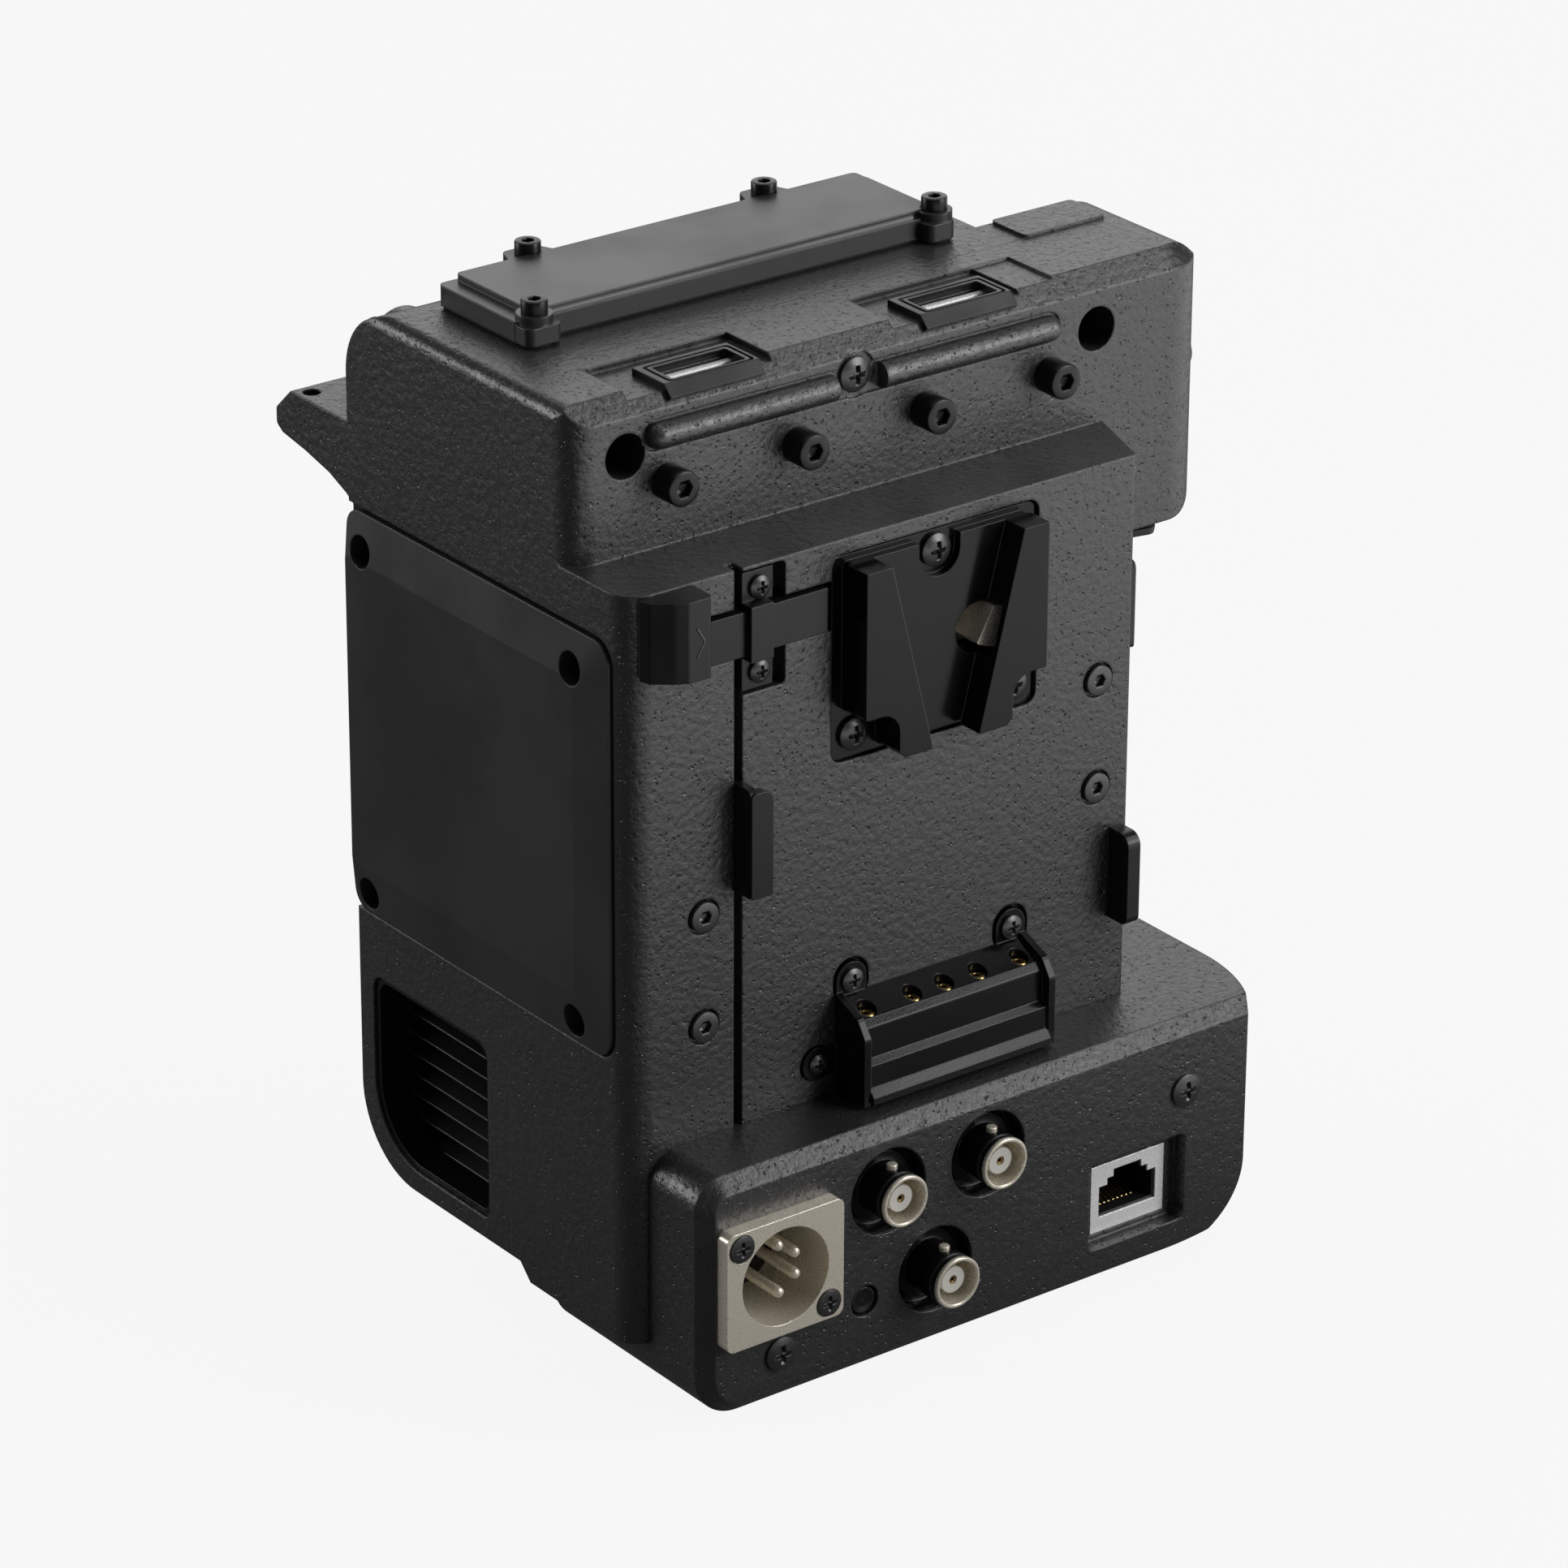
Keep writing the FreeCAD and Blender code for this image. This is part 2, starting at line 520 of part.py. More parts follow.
def front_frame():
    """Cast front shell with its two round front corners and the front part of the wing."""
    body = slab("x", [(SEAM, BODY_BOTTOM, 0), (FRONT, BODY_BOTTOM, 16), (FRONT, TOP, 13), (SEAM, TOP, 0)],
                BODY_LEFT, BODY_RIGHT)
    pad = rounded("z", BODY_RIGHT + 3.3, WING_RIGHT - 8.5, SEAM, WING_FRONT, 1.0, TOP - 1, TOP + WING_PAD)
    shell = joined([body, wing_block(SEAM, WING_FRONT, 0), pad])
    shell = without(shell, [edge_cutter("y", BODY_LEFT, TOP, -1, 1, 2.5, SEAM - 1, FRONT + 1)])
    inside = slab("x", [(SEAM - 1, BODY_BOTTOM + WALL, 0), (FRONT - WALL, BODY_BOTTOM + WALL, 13),
                        (FRONT - WALL, TOP - WALL, 10), (SEAM - 1, TOP - WALL, 0)],
                  BODY_LEFT + WALL, BODY_RIGHT - WALL)
    front_opening = rounded("y", *FRONT_OPENING, 4, FRONT - WALL - 1, FRONT + 1)
    shell = without(shell, [inside, front_opening, wing_block(SEAM - 1, WING_FRONT - WALL, WALL)])
    bosses = []
    for x, z, front in MOUNTING_BOLTS:
        bosses.append(rod(x, SEAM, z, "front", DEEP_HOLE + 5, front - SEAM - 0.5))
    bosses.append(rod(RIB_SCREW_X, SEAM, RIB_SCREW_Z, "front", 9, 10))
    bosses.append(rod(WING_SCREW[0], SEAM, WING_SCREW[1], "front", 8, WING_FRONT - SEAM - 0.5))
    bosses += cover_bosses(True)
    shell = joined([shell] + bosses)
    bay = rounded("z", SLOT_BAY[0], SLOT_BAY[1], SLOT_BAY[2], SLOT_BAY[3], 2, TOP - 5, TOP + 1)
    bay_seat = rounded("z", SLOT_BAY[0] - 2, SLOT_BAY[1] + 2, SLOT_BAY[2] - 2, SLOT_BAY[3] + 2, 3,
                       TOP - 1.2, TOP + 1)
    vent = slab("x", vent_corners(0), BODY_LEFT - 1, BODY_LEFT + WALL + 1)
    cuts = [cover_pocket(), bay, bay_seat, vent] + cover_screw_holes()
    for x, z, front in MOUNTING_BOLTS:
        cuts.append(rod(x, SEAM - 1, z, "front", DEEP_HOLE, front - SEAM - 6))
        cuts.append(rod(x, SEAM - 1, z, "front", BOLT_THREAD + 0.4, front - SEAM + 2))
    cuts += screw_bores([(RIB_SCREW_X, RIB_SCREW_Z), WING_SCREW], SEAM - 1, 3.0, SHELL_SCREW_BITE + 2.8)
    cuts += [rod(x, FRONT - WALL - 1, z, "front", 3.2, 5) for x, z in FRONT_SCREWS]
    cuts += [rod(x, y, TOP + 1, "down", 3.0, 9) for x, y, _ in SLOT_SCREWS]
    cuts += [rod(x, FRONT - WALL - 1, ARM_SCREW_Z, "front", 4.2, 5) for x in ARM_SCREWS_X]
    return without(shell, cuts)


def vent_corners(inset):
    """Outline of the ventilation opening with its large lower front corner."""
    return [(VENT_Y[0] + inset, VENT_Z[0] + inset, 2), (VENT_Y[1] - inset, VENT_Z[0] + inset, 14 - inset),
            (VENT_Y[1] - inset, VENT_Z[1] - inset, 3), (VENT_Y[0] + inset, VENT_Z[1] - inset, 3)]


def base_block(y0, grow):
    """The base with its flared right side, smaller by the wall when grow is negative."""
    left = BASE_LEFT - grow
    right = BASE_RIGHT + grow
    rear_right = BASE_REAR_RIGHT + grow
    low = -grow
    flare = right - rear_right
    block = slab("z", [(left, y0, 0), (rear_right, y0, 0), (right, y0 + 1.6 * flare, 6 * flare),
                       (right, BASE_FRONT, 0), (left, BASE_FRONT, 0)], low, BASE_TOP + grow)
    edges = [edge for edge in block.Edges
             if edge.BoundBox.ZMax < low + FIT and edge.BoundBox.XMin > rear_right - FIT]
    block = block.makeFillet(BASE_RIGHT_ROUND + grow, edges)
    section = base_section(grow)
    return block.common(slab("y", section, y0, BASE_FRONT))


def base_section(grow):
    """Corners of the base's cross-section, which runs on past its right side."""
    left = BASE_LEFT - grow
    far = BASE_RIGHT + 10
    return [(left, -grow, BASE_LOW_ROUND + grow), (far, -grow, 0), (far, BASE_TOP + grow, 0),
            (left, BASE_TOP + grow, BASE_TOP_ROUND + grow)]


def bayonet_well(x, z):
    """Round well round one coaxial socket."""
    return rod(x, -1, z, "front", 16.3, 5.0)


def base_housing():
    """Cast base open to the front, with its connector panel."""
    rim = bevelled("y", base_section(-BASE_BEVEL), 0, base_section(0), BASE_BEVEL)
    room = joined([rim, slab("y", base_section(0), BASE_BEVEL, BASE_FRONT)])
    solid = base_block(0.0, 0.0).common(room)
    solid = without(solid, [base_block(BASE_PANEL, -BASE_WALL)])
    tabs = [box(x - 4, x + 4, BASE_FRONT - 10.5, BASE_FRONT - 2.6, z - 4, z + 4)
            for x, z in BULKHEAD_SCREWS]
    tabs = [tab.common(base_block(0.0, 0.0)) for tab in tabs]
    posts = [rod(x, y, BASE_TOP - 1, "down", 8, 9) for x, y in BASE_JOINS]
    solid = joined([solid] + tabs + posts)
    cuts = [bayonet_well(x, z) for x, z, _ in COAX]
    cuts += [rod(x, -1, z, "front", 10.0, BASE_PANEL + 2) for x, z, _ in COAX]
    cuts.append(rod(INLET[0], -1, INLET[1], "front", 21.8, BASE_PANEL + 2))
    cuts += [rod(x, -1, z, "front", 2.5, BASE_PANEL + 2) for x, z in INLET_SCREWS]
    cuts.append(rounded("y", 24.2, 46.2, 6.9, 24.1, 1.5, -1, NETWORK_Y))
    cuts.append(box(NETWORK_X[0] - FIT, NETWORK_X[1] + FIT, 0, BASE_PANEL + 1,
                    NETWORK_Z[0] - FIT, NETWORK_Z[1] + FIT))
    cuts.append(rod(RESET[0], -1, RESET[1], "front", 6.0, BASE_PANEL + 2))
    cuts += screw_bores(BASE_SCREWS, -1, 3.2, BASE_PANEL + 2)
    cuts += [rod(x, y, BASE_TOP + 1, "down", 3.0, 9.5) for x, y in BASE_JOINS]
    cuts += [rod(x, BASE_FRONT - 11, z, "front", 3.0, 9) for x, z in BULKHEAD_SCREWS]
    return without(solid, cuts)


def base_bulkhead():
    """Plate that closes the front of the base."""
    plate = base_block(BASE_PANEL, -BASE_WALL - FIT).common(
        box(BASE_LEFT, BASE_RIGHT, BASE_FRONT - 2.6, BASE_FRONT, 0, BASE_TOP))
    holes = [rod(x, BASE_FRONT - 4, z, "front", 3.2, 6) for x, z in BULKHEAD_SCREWS]
    slot = box(-20, 20, BASE_FRONT - 4, BASE_FRONT + 1, 30, 40)
    return without(plate, holes + [slot])


def side_cover():
    """Flat cover with bevelled borders and four deep screw cups."""
    y0, y1 = COVER_Y
    z0, z1 = COVER_Z
    bevel = 0.9
    outer = rounded("x", y0, y1, z0, z1, 4, COVER_FACE + bevel, GASKET_FACE)
    wide = [(y0, z0, 4), (y1, z0, 4), (y1, z1, 4), (y0, z1, 4)]
    low = z0 + COVER_BORDER
    high = z1 - COVER_BORDER
    rear = y0 + COVER_BORDER
    narrow = [(rear, low, 1), (y1 - 0.6, low, 1), (y1 - 0.6, high, 1), (rear, high, 1)]
    raised = bevelled("x", narrow, COVER_FACE, wide, COVER_FACE + bevel)
    cups = [rod(GASKET_FACE - 0.5, y, z, "right", CUP, CUP_END - GASKET_FACE + 0.5) for y, z in COVER_SCREWS]
    solid = joined([outer, raised] + cups)
    holes = [rod(CUP_END + 1, y, z, "left", 3.3, 12) for y, z in COVER_SCREWS]
    sinks = [rod(CUP_SEAT, y, z, "left", CUP_BORE, 12) for y, z in COVER_SCREWS]
    return without(solid, holes + sinks)


def side_cover_gasket():
    """Flat seal between the cover and the shells."""
    y0, y1 = COVER_Y
    z0, z1 = COVER_Z
    ring = slab("x", [(y0 - 0.4, z0 - 0.4, 4.4), (y1 - 0.3, z0 - 0.4, 0.5), (y1 - 0.3, z1 + 0.4, 0.5),
                      (y0 - 0.4, z1 + 0.4, 4.4)], GASKET_FACE, COVER_POCKET)
    window = rounded("x", y0 + 12, y1 - 8, z0 + 8, z1 - 11, 2, GASKET_FACE - 1, COVER_POCKET + 1)
    holes = [rod(COVER_POCKET + 1, y, z, "left", CUP + 2 * FIT, 4) for y, z in COVER_SCREWS]
    return without(ring, [window] + holes)


def side_cover_screws():
    """Four screws with their heads at the bottom of the cover's cups."""
    screw = cross_screw(5.6, 1.0, 3.0, BOSS_END - 0.8 - CUP_SEAT)
    return [placed(screw, CUP_SEAT, y, z, "left") for y, z in COVER_SCREWS]


def vent_grille():
    """Deep thin-walled frame in the ventilation opening, with slanted louvres well inside."""
    back = VENT_FACE + VENT_DEPTH
    frame = slab("x", vent_corners(FIT), VENT_FACE, back)
    frame = without(frame, [slab("x", vent_corners(FIT + VENT_WALL), VENT_FACE - 1, back + 1)])
    near = VENT_FACE + SLAT_START
    rise = 3.4
    room = slab("x", vent_corners(FIT + VENT_WALL / 2), VENT_FACE, back)
    slats = []
    low = VENT_Z[0] + VENT_WALL
    pitch = (VENT_Z[1] - VENT_Z[0] - 2 * VENT_WALL) / SLAT_COUNT
    for index in range(SLAT_COUNT):
        z = low + pitch * (index + 0.5) - rise / 2
        slant = [(near, z, 0), (near + 1.6, z, 0), (back - 0.2, z + rise, 0), (back - 1.8, z + rise, 0)]
        slat = slab("y", slant, VENT_Y[0], VENT_Y[1])
        slats.append(slat.common(room))
    return joined([frame] + slats)


def fan_frame():
    """Square fan frame with a round duct and a hub on four arms."""
    y, z = FAN_CENTRE
    half = FAN_SIDE / 2
    frame = rounded("x", y - half, y + half, z - half, z + half, 3, FAN_X, FAN_X + FAN_DEPTH)
    frame = without(frame, [rod(FAN_X - 1, y, z, "right", FAN_SIDE - 2.0, FAN_DEPTH + 2)])
    reach = half - 0.5
    arms = [box(FAN_X + FAN_DEPTH - 1.5, FAN_X + FAN_DEPTH, y - reach, y + reach, z - 1, z + 1),
            box(FAN_X + FAN_DEPTH - 1.5, FAN_X + FAN_DEPTH, y - 1, y + 1, z - reach, z + reach),
            rod(FAN_X + FAN_DEPTH - 1.5, y, z, "right", 12, 1.5),
            rod(FAN_X + 3.0, y, z, "right", 2.0, FAN_DEPTH - 3.0)]
    return joined([frame] + arms)


def fan_rotor():
    """Hub with seven pitched blades about the fan axis."""
    y, z = FAN_CENTRE
    hub = turned([(0.8, 0), (0.8, 6.0), (7.8, 6.0), (7.8, 0)])
    tip = FAN_SIDE / 2 - 1.7
    blades = []
    for index in range(7):
        blade = box(-0.4, 0.4, 5.0, tip, 1.4, 7.0)
        blade.rotate(V(0, 0, 4.2), V(0, 1, 0), 32)
        blade.rotate(V(0, 0, 0), V(0, 0, 1), 360 / 7 * index)
        blades.append(blade)
    rotor = joined([hub] + blades)
    rotor = without(rotor, [turned([(2.4, 0), (2.4, 1.2), (9, 1.2), (9, 0)])])
    return placed(rotor, FAN_X, y, z, "right")


def heat_sink():
    """Finned block in the air path behind the fan."""
    y, z = FAN_CENTRE
    x0 = FAN_X + FAN_DEPTH
    half = FAN_SIDE / 2 - 0.5
    count = 8
    pitch = (2 * half - 1.2) / (count - 1)
    base = box(x0, x0 + 25, y - half, y + half, z + half - 3, z + half)
    fins = [box(x0, x0 + 25, y - half + pitch * step, y - half + pitch * step + 1.2, z - half, z + half - 2)
            for step in range(count)]
    return joined([base] + fins)


def slot_cover():
    """Long lid with four screw bosses and a raised bead along its rear edge."""
    x0, x1 = SLOT_X
    y0, y1 = SLOT_Y
    seat = TOP + 0.5
    lid = rounded("z", x0, x1, y0, y1, 1.2, seat, SLOT_TOP - 1.3)
    top = rounded("z", x0 + 3.4, x1 - 2.4, y0 + 1.0, y1 - 0.4, 1.0, seat, SLOT_TOP)
    bosses = []
    for x, y, drop in SLOT_SCREWS:
        high = SLOT_TOP - drop
        if y > y1:
            shoulder = [(x - 5.2, y1 - 1, 0), (x + 5.6, y1 - 1, 0), (x + 3.2, y + 3.2, 1.5),
                        (x - 3.2, y + 3.2, 1.5)]
            bosses.append(slab("z", shoulder, seat, high))
            continue
        bosses.append(rounded("z", x - 3.6, min(x + 3.6, x1), y0 - 3.0, y1 - 4.0, 1.4, seat, high - 1.6))
        bosses.append(rod(x, y, seat, "up", 6.4, high - seat))
    bead = rod(x0 + 7, y0 + 1.2, SLOT_TOP - 1.2, "right", 2.0, x1 - x0 - 14)
    solid = joined([lid, top, bead] + bosses)
    holes = [rod(x, y, TOP, "up", 3.2, SLOT_RISE + 2) for x, y, _ in SLOT_SCREWS]
    seats = [rod(x, y, SLOT_TOP - drop, "up", 5.0, 3) for x, y, drop in SLOT_SCREWS]
    return without(solid, holes + seats)


def slot_cover_gasket():
    """Thin seal under the lid."""
    x0, x1 = SLOT_X
    y0, y1 = SLOT_Y
    ring = rounded("z", x0 + 0.4, x1 - 0.4, y0 + 0.4, y1 - 0.4, 1.0, TOP, TOP + 0.5)
    pads = [rod(x, y, TOP, "up", 6.0, 0.5) for x, y, _ in SLOT_SCREWS]
    window = rounded("z", x0 + 8, x1 - 8, y0 + 3.5, y1 - 3.0, 1.0, TOP - 1, TOP + 2)
    ring = joined([ring] + pads)
    return without(ring, [window] + [rod(x, y, TOP - 1, "up", 3.2, 4) for x, y, _ in SLOT_SCREWS])


def slot_cover_screws():
    """Four socket cap screws on the lid's bosses."""
    screw = socket_screw(4.6, 2.4, 3.0, SLOT_RISE + 5.0, 2.0)
    return [placed(screw, x, y, SLOT_TOP - drop, "up") for x, y, drop in SLOT_SCREWS]


def slot_bay():
    """Sheet tray under the lid with a flange that hangs in the top of the front shell."""
    x0, x1, y0, y1 = SLOT_BAY
    floor = TOP - BAY_DEPTH
    flange = rounded("z", x0 - 1.8, x1 + 1.8, y0 - 1.8, y1 + 1.8, 2.8, TOP - 1.2, TOP - 0.2)
    tray = rounded("z", x0 + FIT, x1 - FIT, y0 + FIT, y1 - FIT, 2 - FIT, floor, TOP - 0.2)
    space = rounded("z", x0 + 1.2, x1 - 1.2, y0 + 1.2, y1 - 1.2, 1, floor + 1.2, TOP + 1)
    slot = box(-20.2, 4.2, 69.8, 75.2, floor - 1, floor + 2)
    return without(joined([flange, tray]), [space, slot])


def slot_connector():
    """Pluggable connector in the floor of the tray."""
    floor = TOP - BAY_DEPTH
    body = joined([box(-20.0, 4.0, 70.0, 75.0, floor, floor + 7),
                   box(-21.5, 5.5, 68.5, 76.5, floor - 3, floor)])
    return without(body, [box(-18.5, 2.5, 71.2, 73.8, floor + 2.5, floor + 8)])


def inset_frames():
    """Two frames that lie in the shallow pockets and bend down over the bevelled edge."""
    floor = TOP - INSET_DEPTH
    rear = UPPER_REAR + TOP_BEVEL - INSET_DEPTH
    drop = 1.4
    lift_off = 0.7
    profile = [(rear - drop, floor - drop, 0), (rear - drop - lift_off, floor - drop + lift_off, 0),
               (rear - 2 * lift_off + INSET_DEPTH, TOP, 0), (INSET_FRONT - 4.0, TOP, 0),
               (INSET_FRONT - 4.0, floor, 0), (rear, floor, 0)]
    frames = []
    for span in INSETS:
        middle = inset_middle(span)
        half = INSET_OPENING[0] / 2
        y0 = INSET_OPENING_Y
        y1 = INSET_OPENING_Y + INSET_OPENING[1]
        opening = rounded("z", middle - half, middle + half, y0, y1, 0.6, TOP - 4, TOP + 1)
        reach = half + 1.3
        edge = half + 0.7
        ring = rounded("z", middle - reach, middle + reach, y0 - 0.9, y1 + 1.1, 0.9, TOP - 0.4, TOP + 1)
        land = rounded("z", middle - edge, middle + edge, y0 - 0.4, y1 + 0.5, 0.6, TOP - 1, TOP + 2)
        frames.append(without(slab("x", profile, span[0], span[1]), [opening, ring.cut(land)]))
    return frames


def inset_bars():
    """A bright bar across each slot."""
    bars = []
    half = INSET_OPENING[0] / 2
    y = INSET_OPENING_Y + INSET_OPENING[1] - BAR_WIDTH / 2 - 0.4
    for span in INSETS:
        middle = inset_middle(span)
        bars.append(rod(middle - half, y, TOP - 3.9, "right", BAR_WIDTH, 2 * half))
    return bars


def shell_screws():
    """Three cross-head screws: on the rib, on the wing's rear face and on its side."""
    long_screw = cross_screw(6.3, 1.5, 3.0, SEAM - UPPER_REAR + SHELL_SCREW_BITE)
    short_screw = cross_screw(6.6, 1.5, 3.0, 6.0)
    return [placed(long_screw, RIB_SCREW_X, UPPER_REAR + RIB_GROOVE, RIB_SCREW_Z, "rear"),
            placed(long_screw, WING_SCREW[0], UPPER_REAR, WING_SCREW[1], "rear"),
            placed(short_screw, WING_RIGHT, SIDE_SCREW[0], SIDE_SCREW[1], "right")]


def standoffs():
    """Four tapped standoffs with hex sockets."""
    length = STANDOFF_LENGTH
    wide = STANDOFF_WIDTH / 2
    thin = STANDOFF_SHANK / 2
    body = turned([(-7.0, 0), (-7.0, thin), (0, thin), (0, wide), (length - 0.35, wide),
                   (length, wide - 0.35), (length, 0)])
    corners = []
    for step in range(6):
        angle = math.radians(60 * step)
        corners.append((1.6 * math.cos(angle), 1.6 * math.sin(angle), 0))
    body = without(body, [slab("z", corners, length - 3.5, length + 1)])
    return [placed(body, x, UPPER_REAR, z, "rear") for x, z in STANDOFFS]


def mounting_bolts():
    """Two captive bolts: head at the bottom of the deep hole, slim neck, thread past the shell."""
    seat = 7.0
    neck = socket_screw(7.0, 4.0, BOLT_NECK, seat + 0.5, 3.0)
    thread = Part.makeCylinder(BOLT_THREAD / 2, 7.5, V(0, 0, -seat - 8.0))
    bolt = joined([neck, thread])
    return [placed(bolt, x, front - seat, z, "rear") for x, z, front in MOUNTING_BOLTS]


def lock_receiver():
    """V-shaped receiver: a base plate with two wings that leave a tapered channel."""
    edge = V_HALF + V_RIM
    foot = V_BOTTOM - 0.8
    shoulder = V_BOTTOM + 8.0
    flange = rounded("y", -edge, edge, V_BOTTOM - 1.3, V_TOP + 1.2, 1.5, V_FLANGE, POCKET_FLOOR)
    plate = rounded("y", -V_HALF, V_HALF, V_BOTTOM, V_TOP, 1.0, V_PLATE, V_FLANGE)
    wings = []
    for side in (-1, 1):
        corners = [(side * V_HALF, V_TOP, 0), (side * V_MOUTH, V_TOP, 0), (side * V_THROAT, foot, 0),
                   (side * (V_THROAT + 6.0), foot, 0), (side * V_HALF, shoulder + 0.3, 0)]
        if side > 0:
            corners.reverse()
        wings.append(slab("y", corners, V_FRONT, V_PLATE))
    solid = joined([flange, plate] + wings)
    notch = 4.4
    screw_z = RECEIVER_SCREWS[0][1]
    cuts = [slab("y", [(-notch, screw_z, 0), (-notch, screw_z - notch, notch - 0.1),
                       (notch, screw_z - notch, notch - 0.1), (notch, screw_z, 0),
                       (notch, V_TOP + 3, 0), (-notch, V_TOP + 3, 0)], V_PLATE - 1, V_FLANGE)]
    inner = V_HALF - 7.3
    for side in (-1, 1):
        cuts.append(slab("y", [(side * inner, V_BOTTOM - 3, 0), (side * inner, shoulder, 4),
                               (side * (edge + 3), shoulder, 0), (side * (edge + 3), V_BOTTOM - 3, 0)],
                         V_FRONT - 1, V_FLANGE))
    cuts += screw_bores(RECEIVER_SCREWS, V_FRONT, 3.3, 12)
    slot_front = V_FRONT + 1.4
    depth = POCKET_FLOOR + 1 - slot_front
    cuts.append(rod(LATCH_X, slot_front, LATCH_Z, "front", 2 * LATCH_HOLE, depth))
    cuts.append(box(LATCH_X, LATCH_FOOT[1] + SLIDE_TRAVEL + 0.5, slot_front, POCKET_FLOOR + 1,
                    LATCH_Z - LATCH_HOLE, LATCH_Z + LATCH_HOLE))
    return without(solid, cuts)


def lock_receiver_screws():
    """Three pan-head screws."""
    screw = cross_screw(6.0, 1.6, 3.0, 9.0)
    return [placed(screw, x, V_FLANGE, z, "rear") for x, z in RECEIVER_SCREWS]


def lock_latch():
    """Latch tongue with a slanted leading edge, on a foot in the channel behind the receiver."""
    corners = [(LATCH_X - 1.5, LATCH_Z - 2.1, 0.4), (LATCH_X + 2.3, LATCH_Z - 3.6, 0.4),
               (LATCH_X + 4.6, LATCH_Z + 3.8, 0.4), (LATCH_X + 2.0, LATCH_Z + 4.1, 0.4)]
    tongue = slab("y", corners, V_FRONT + 3.3, POCKET_FLOOR + 0.5)
    foot = box(LATCH_FOOT[0], LATCH_FOOT[1], POCKET_FLOOR + GAP, LOCK_FLOOR - GAP,
               LATCH_Z - 4.2, SLIDER_Z + 4.0)
    return joined([tongue, foot])


def latch_spring():
    """Coil spring that pulls the latch back out into the channel."""
    start = -11.8
    return placed(coil(2.5, 0.45, LATCH_FOOT[0] - 0.1 - start, 12), start, POCKET_FLOOR + 1.6,
                  LATCH_Z - 0.6, "right")


def release_slider():
    """Thumb button with its bar and the tail that pushes the latch."""
    low = SLIDER_Z - 4.0
    high = SLIDER_Z + 4.0
    back = LOWER_REAR - GAP
    scoop = [(-62.3, back, 0), (-61.6, 13.2, 1.0), (-58.2, 10.6, 6), (-56.2, 9.5, 0.8),
             (-51.8, 9.5, 0.6), (-51.2, 10.4, 0.6), (-51.2, back, 0)]
    button = slab("z", scoop, low + 0.8, LEDGE - GAP)
    step = box(-51.6, -49.0, BAR_FACE, back, low, LEDGE - 2.5)
    rest_end = POCKET[0] - SLIDE_TRAVEL
    bar = box(-56.0, rest_end, BAR_FACE, POCKET_FLOOR - FIT, low, high)
    lip = box(rest_end - 1, POCKET[0] - 1.5, BAR_FACE, V_FLANGE - GAP, low, high)
    stem = box(-58.0, -50.0, back - 1, POCKET_FLOOR - FIT, low, high)
    peg = box(-43.0, -40.5, POCKET_FLOOR - 2, POCKET_FLOOR + 3.6, SLIDER_Z - 1.6, SLIDER_Z + 1.6)
    tail = box(-30.5, LATCH_FOOT[0] - GAP, POCKET_FLOOR + GAP, LOCK_FLOOR - GAP,
               SLIDER_Z - 3.6, SLIDER_Z + 2.6)
    neck = box(-30.5, rest_end, POCKET_FLOOR - 2, LOCK_FLOOR - GAP, SLIDER_Z - 3.6, SLIDER_Z + 2.6)
    return joined([button, step, bar, lip, stem, peg, tail, neck])


def slider_spring():
    """Coil spring behind the bar that brings the button back."""
    return placed(coil(3.2, 0.5, 12.6, 10), -55.7, POCKET_FLOOR + 2.2, SLIDER_Z, "right")


def slider_keeper():
    """Bridge over the bar with two screw feet."""
    x0 = KEEPER_X[0] + 1.1
    x1 = KEEPER_X[1] - 2.4
    front = BAR_FACE - GAP - 0.9
    near = 4.0 + GAP
    far = near + 0.7
    feet = [box(x0, x1, 16.0, 19.0, SLIDER_Z + 4.6, LEDGE - 1.2),
            box(x0, x1, 16.0, 19.0, SLIDER_Z - KEEPER_REACH, SLIDER_Z - 4.6)]
    strap = box(x0, x0 + 4.6, front, BAR_FACE - GAP, SLIDER_Z - far, SLIDER_Z + far)
    legs = [box(x0, x0 + 4.6, front, 17.0, SLIDER_Z + near, SLIDER_Z + far),
            box(x0, x0 + 4.6, front, 17.0, SLIDER_Z - far, SLIDER_Z - near)]
    return without(joined(feet + [strap] + legs), screw_bores(KEEPER_SCREWS, 12, 2.7, 8))


def slider_keeper_screws():
    """Two small cross-head screws."""
    screw = cross_screw(4.2, 1.2, 2.5, 7.0)
    return [placed(screw, x, 16.0, z, "rear") for x, z in KEEPER_SCREWS]


def guide_lugs():
    """Left and right battery guides with a front lip that turns inwards."""
    groove = LOWER_REAR + LUG_DEPTH
    outer = LUG_GROOVE[0] + FIT
    inner = LUG_GROOVE[1] - FIT
    left = [slab("x", [(10.5, 91.0, 1.0), (groove, 91.0, 0), (groove, 111.0, 0), (10.5, 111.0, 2.0)],
                 outer, inner),
            slab("y", [(outer, 91.0, 0.5), (-38.0, 91.0, 0.5), (-38.0, 110.5, 2.0), (outer, 110.5, 1.0)],
                 10.5, 12.4)]
    left += [rod(LUG_PIN_X[0], groove - 0.5, z, "front", 2.0, 4.5) for z in LEFT_LUG_PINS]
    right = [slab("x", [(10.0, 62.6, 1.6), (LOWER_REAR, 62.6, 0), (LOWER_REAR, 80.0, 0), (10.0, 80.0, 2.4)],
                  39.6, 42.3)]
    right += [rod(LUG_PIN_X[1], LOWER_REAR - 0.5, z, "front", 2.0, 4.5) for z in RIGHT_LUG_PINS]
    return [joined(left), joined(right)]


def recessed_screws():
    """Four hex-socket screws sunk in the lower rear face."""
    screw = socket_screw(5.6, 1.8, 3.0, 21.0, 2.5)
    return [placed(screw, x, LOWER_REAR + 1.2, z, "rear") for x, z in RECESSED]


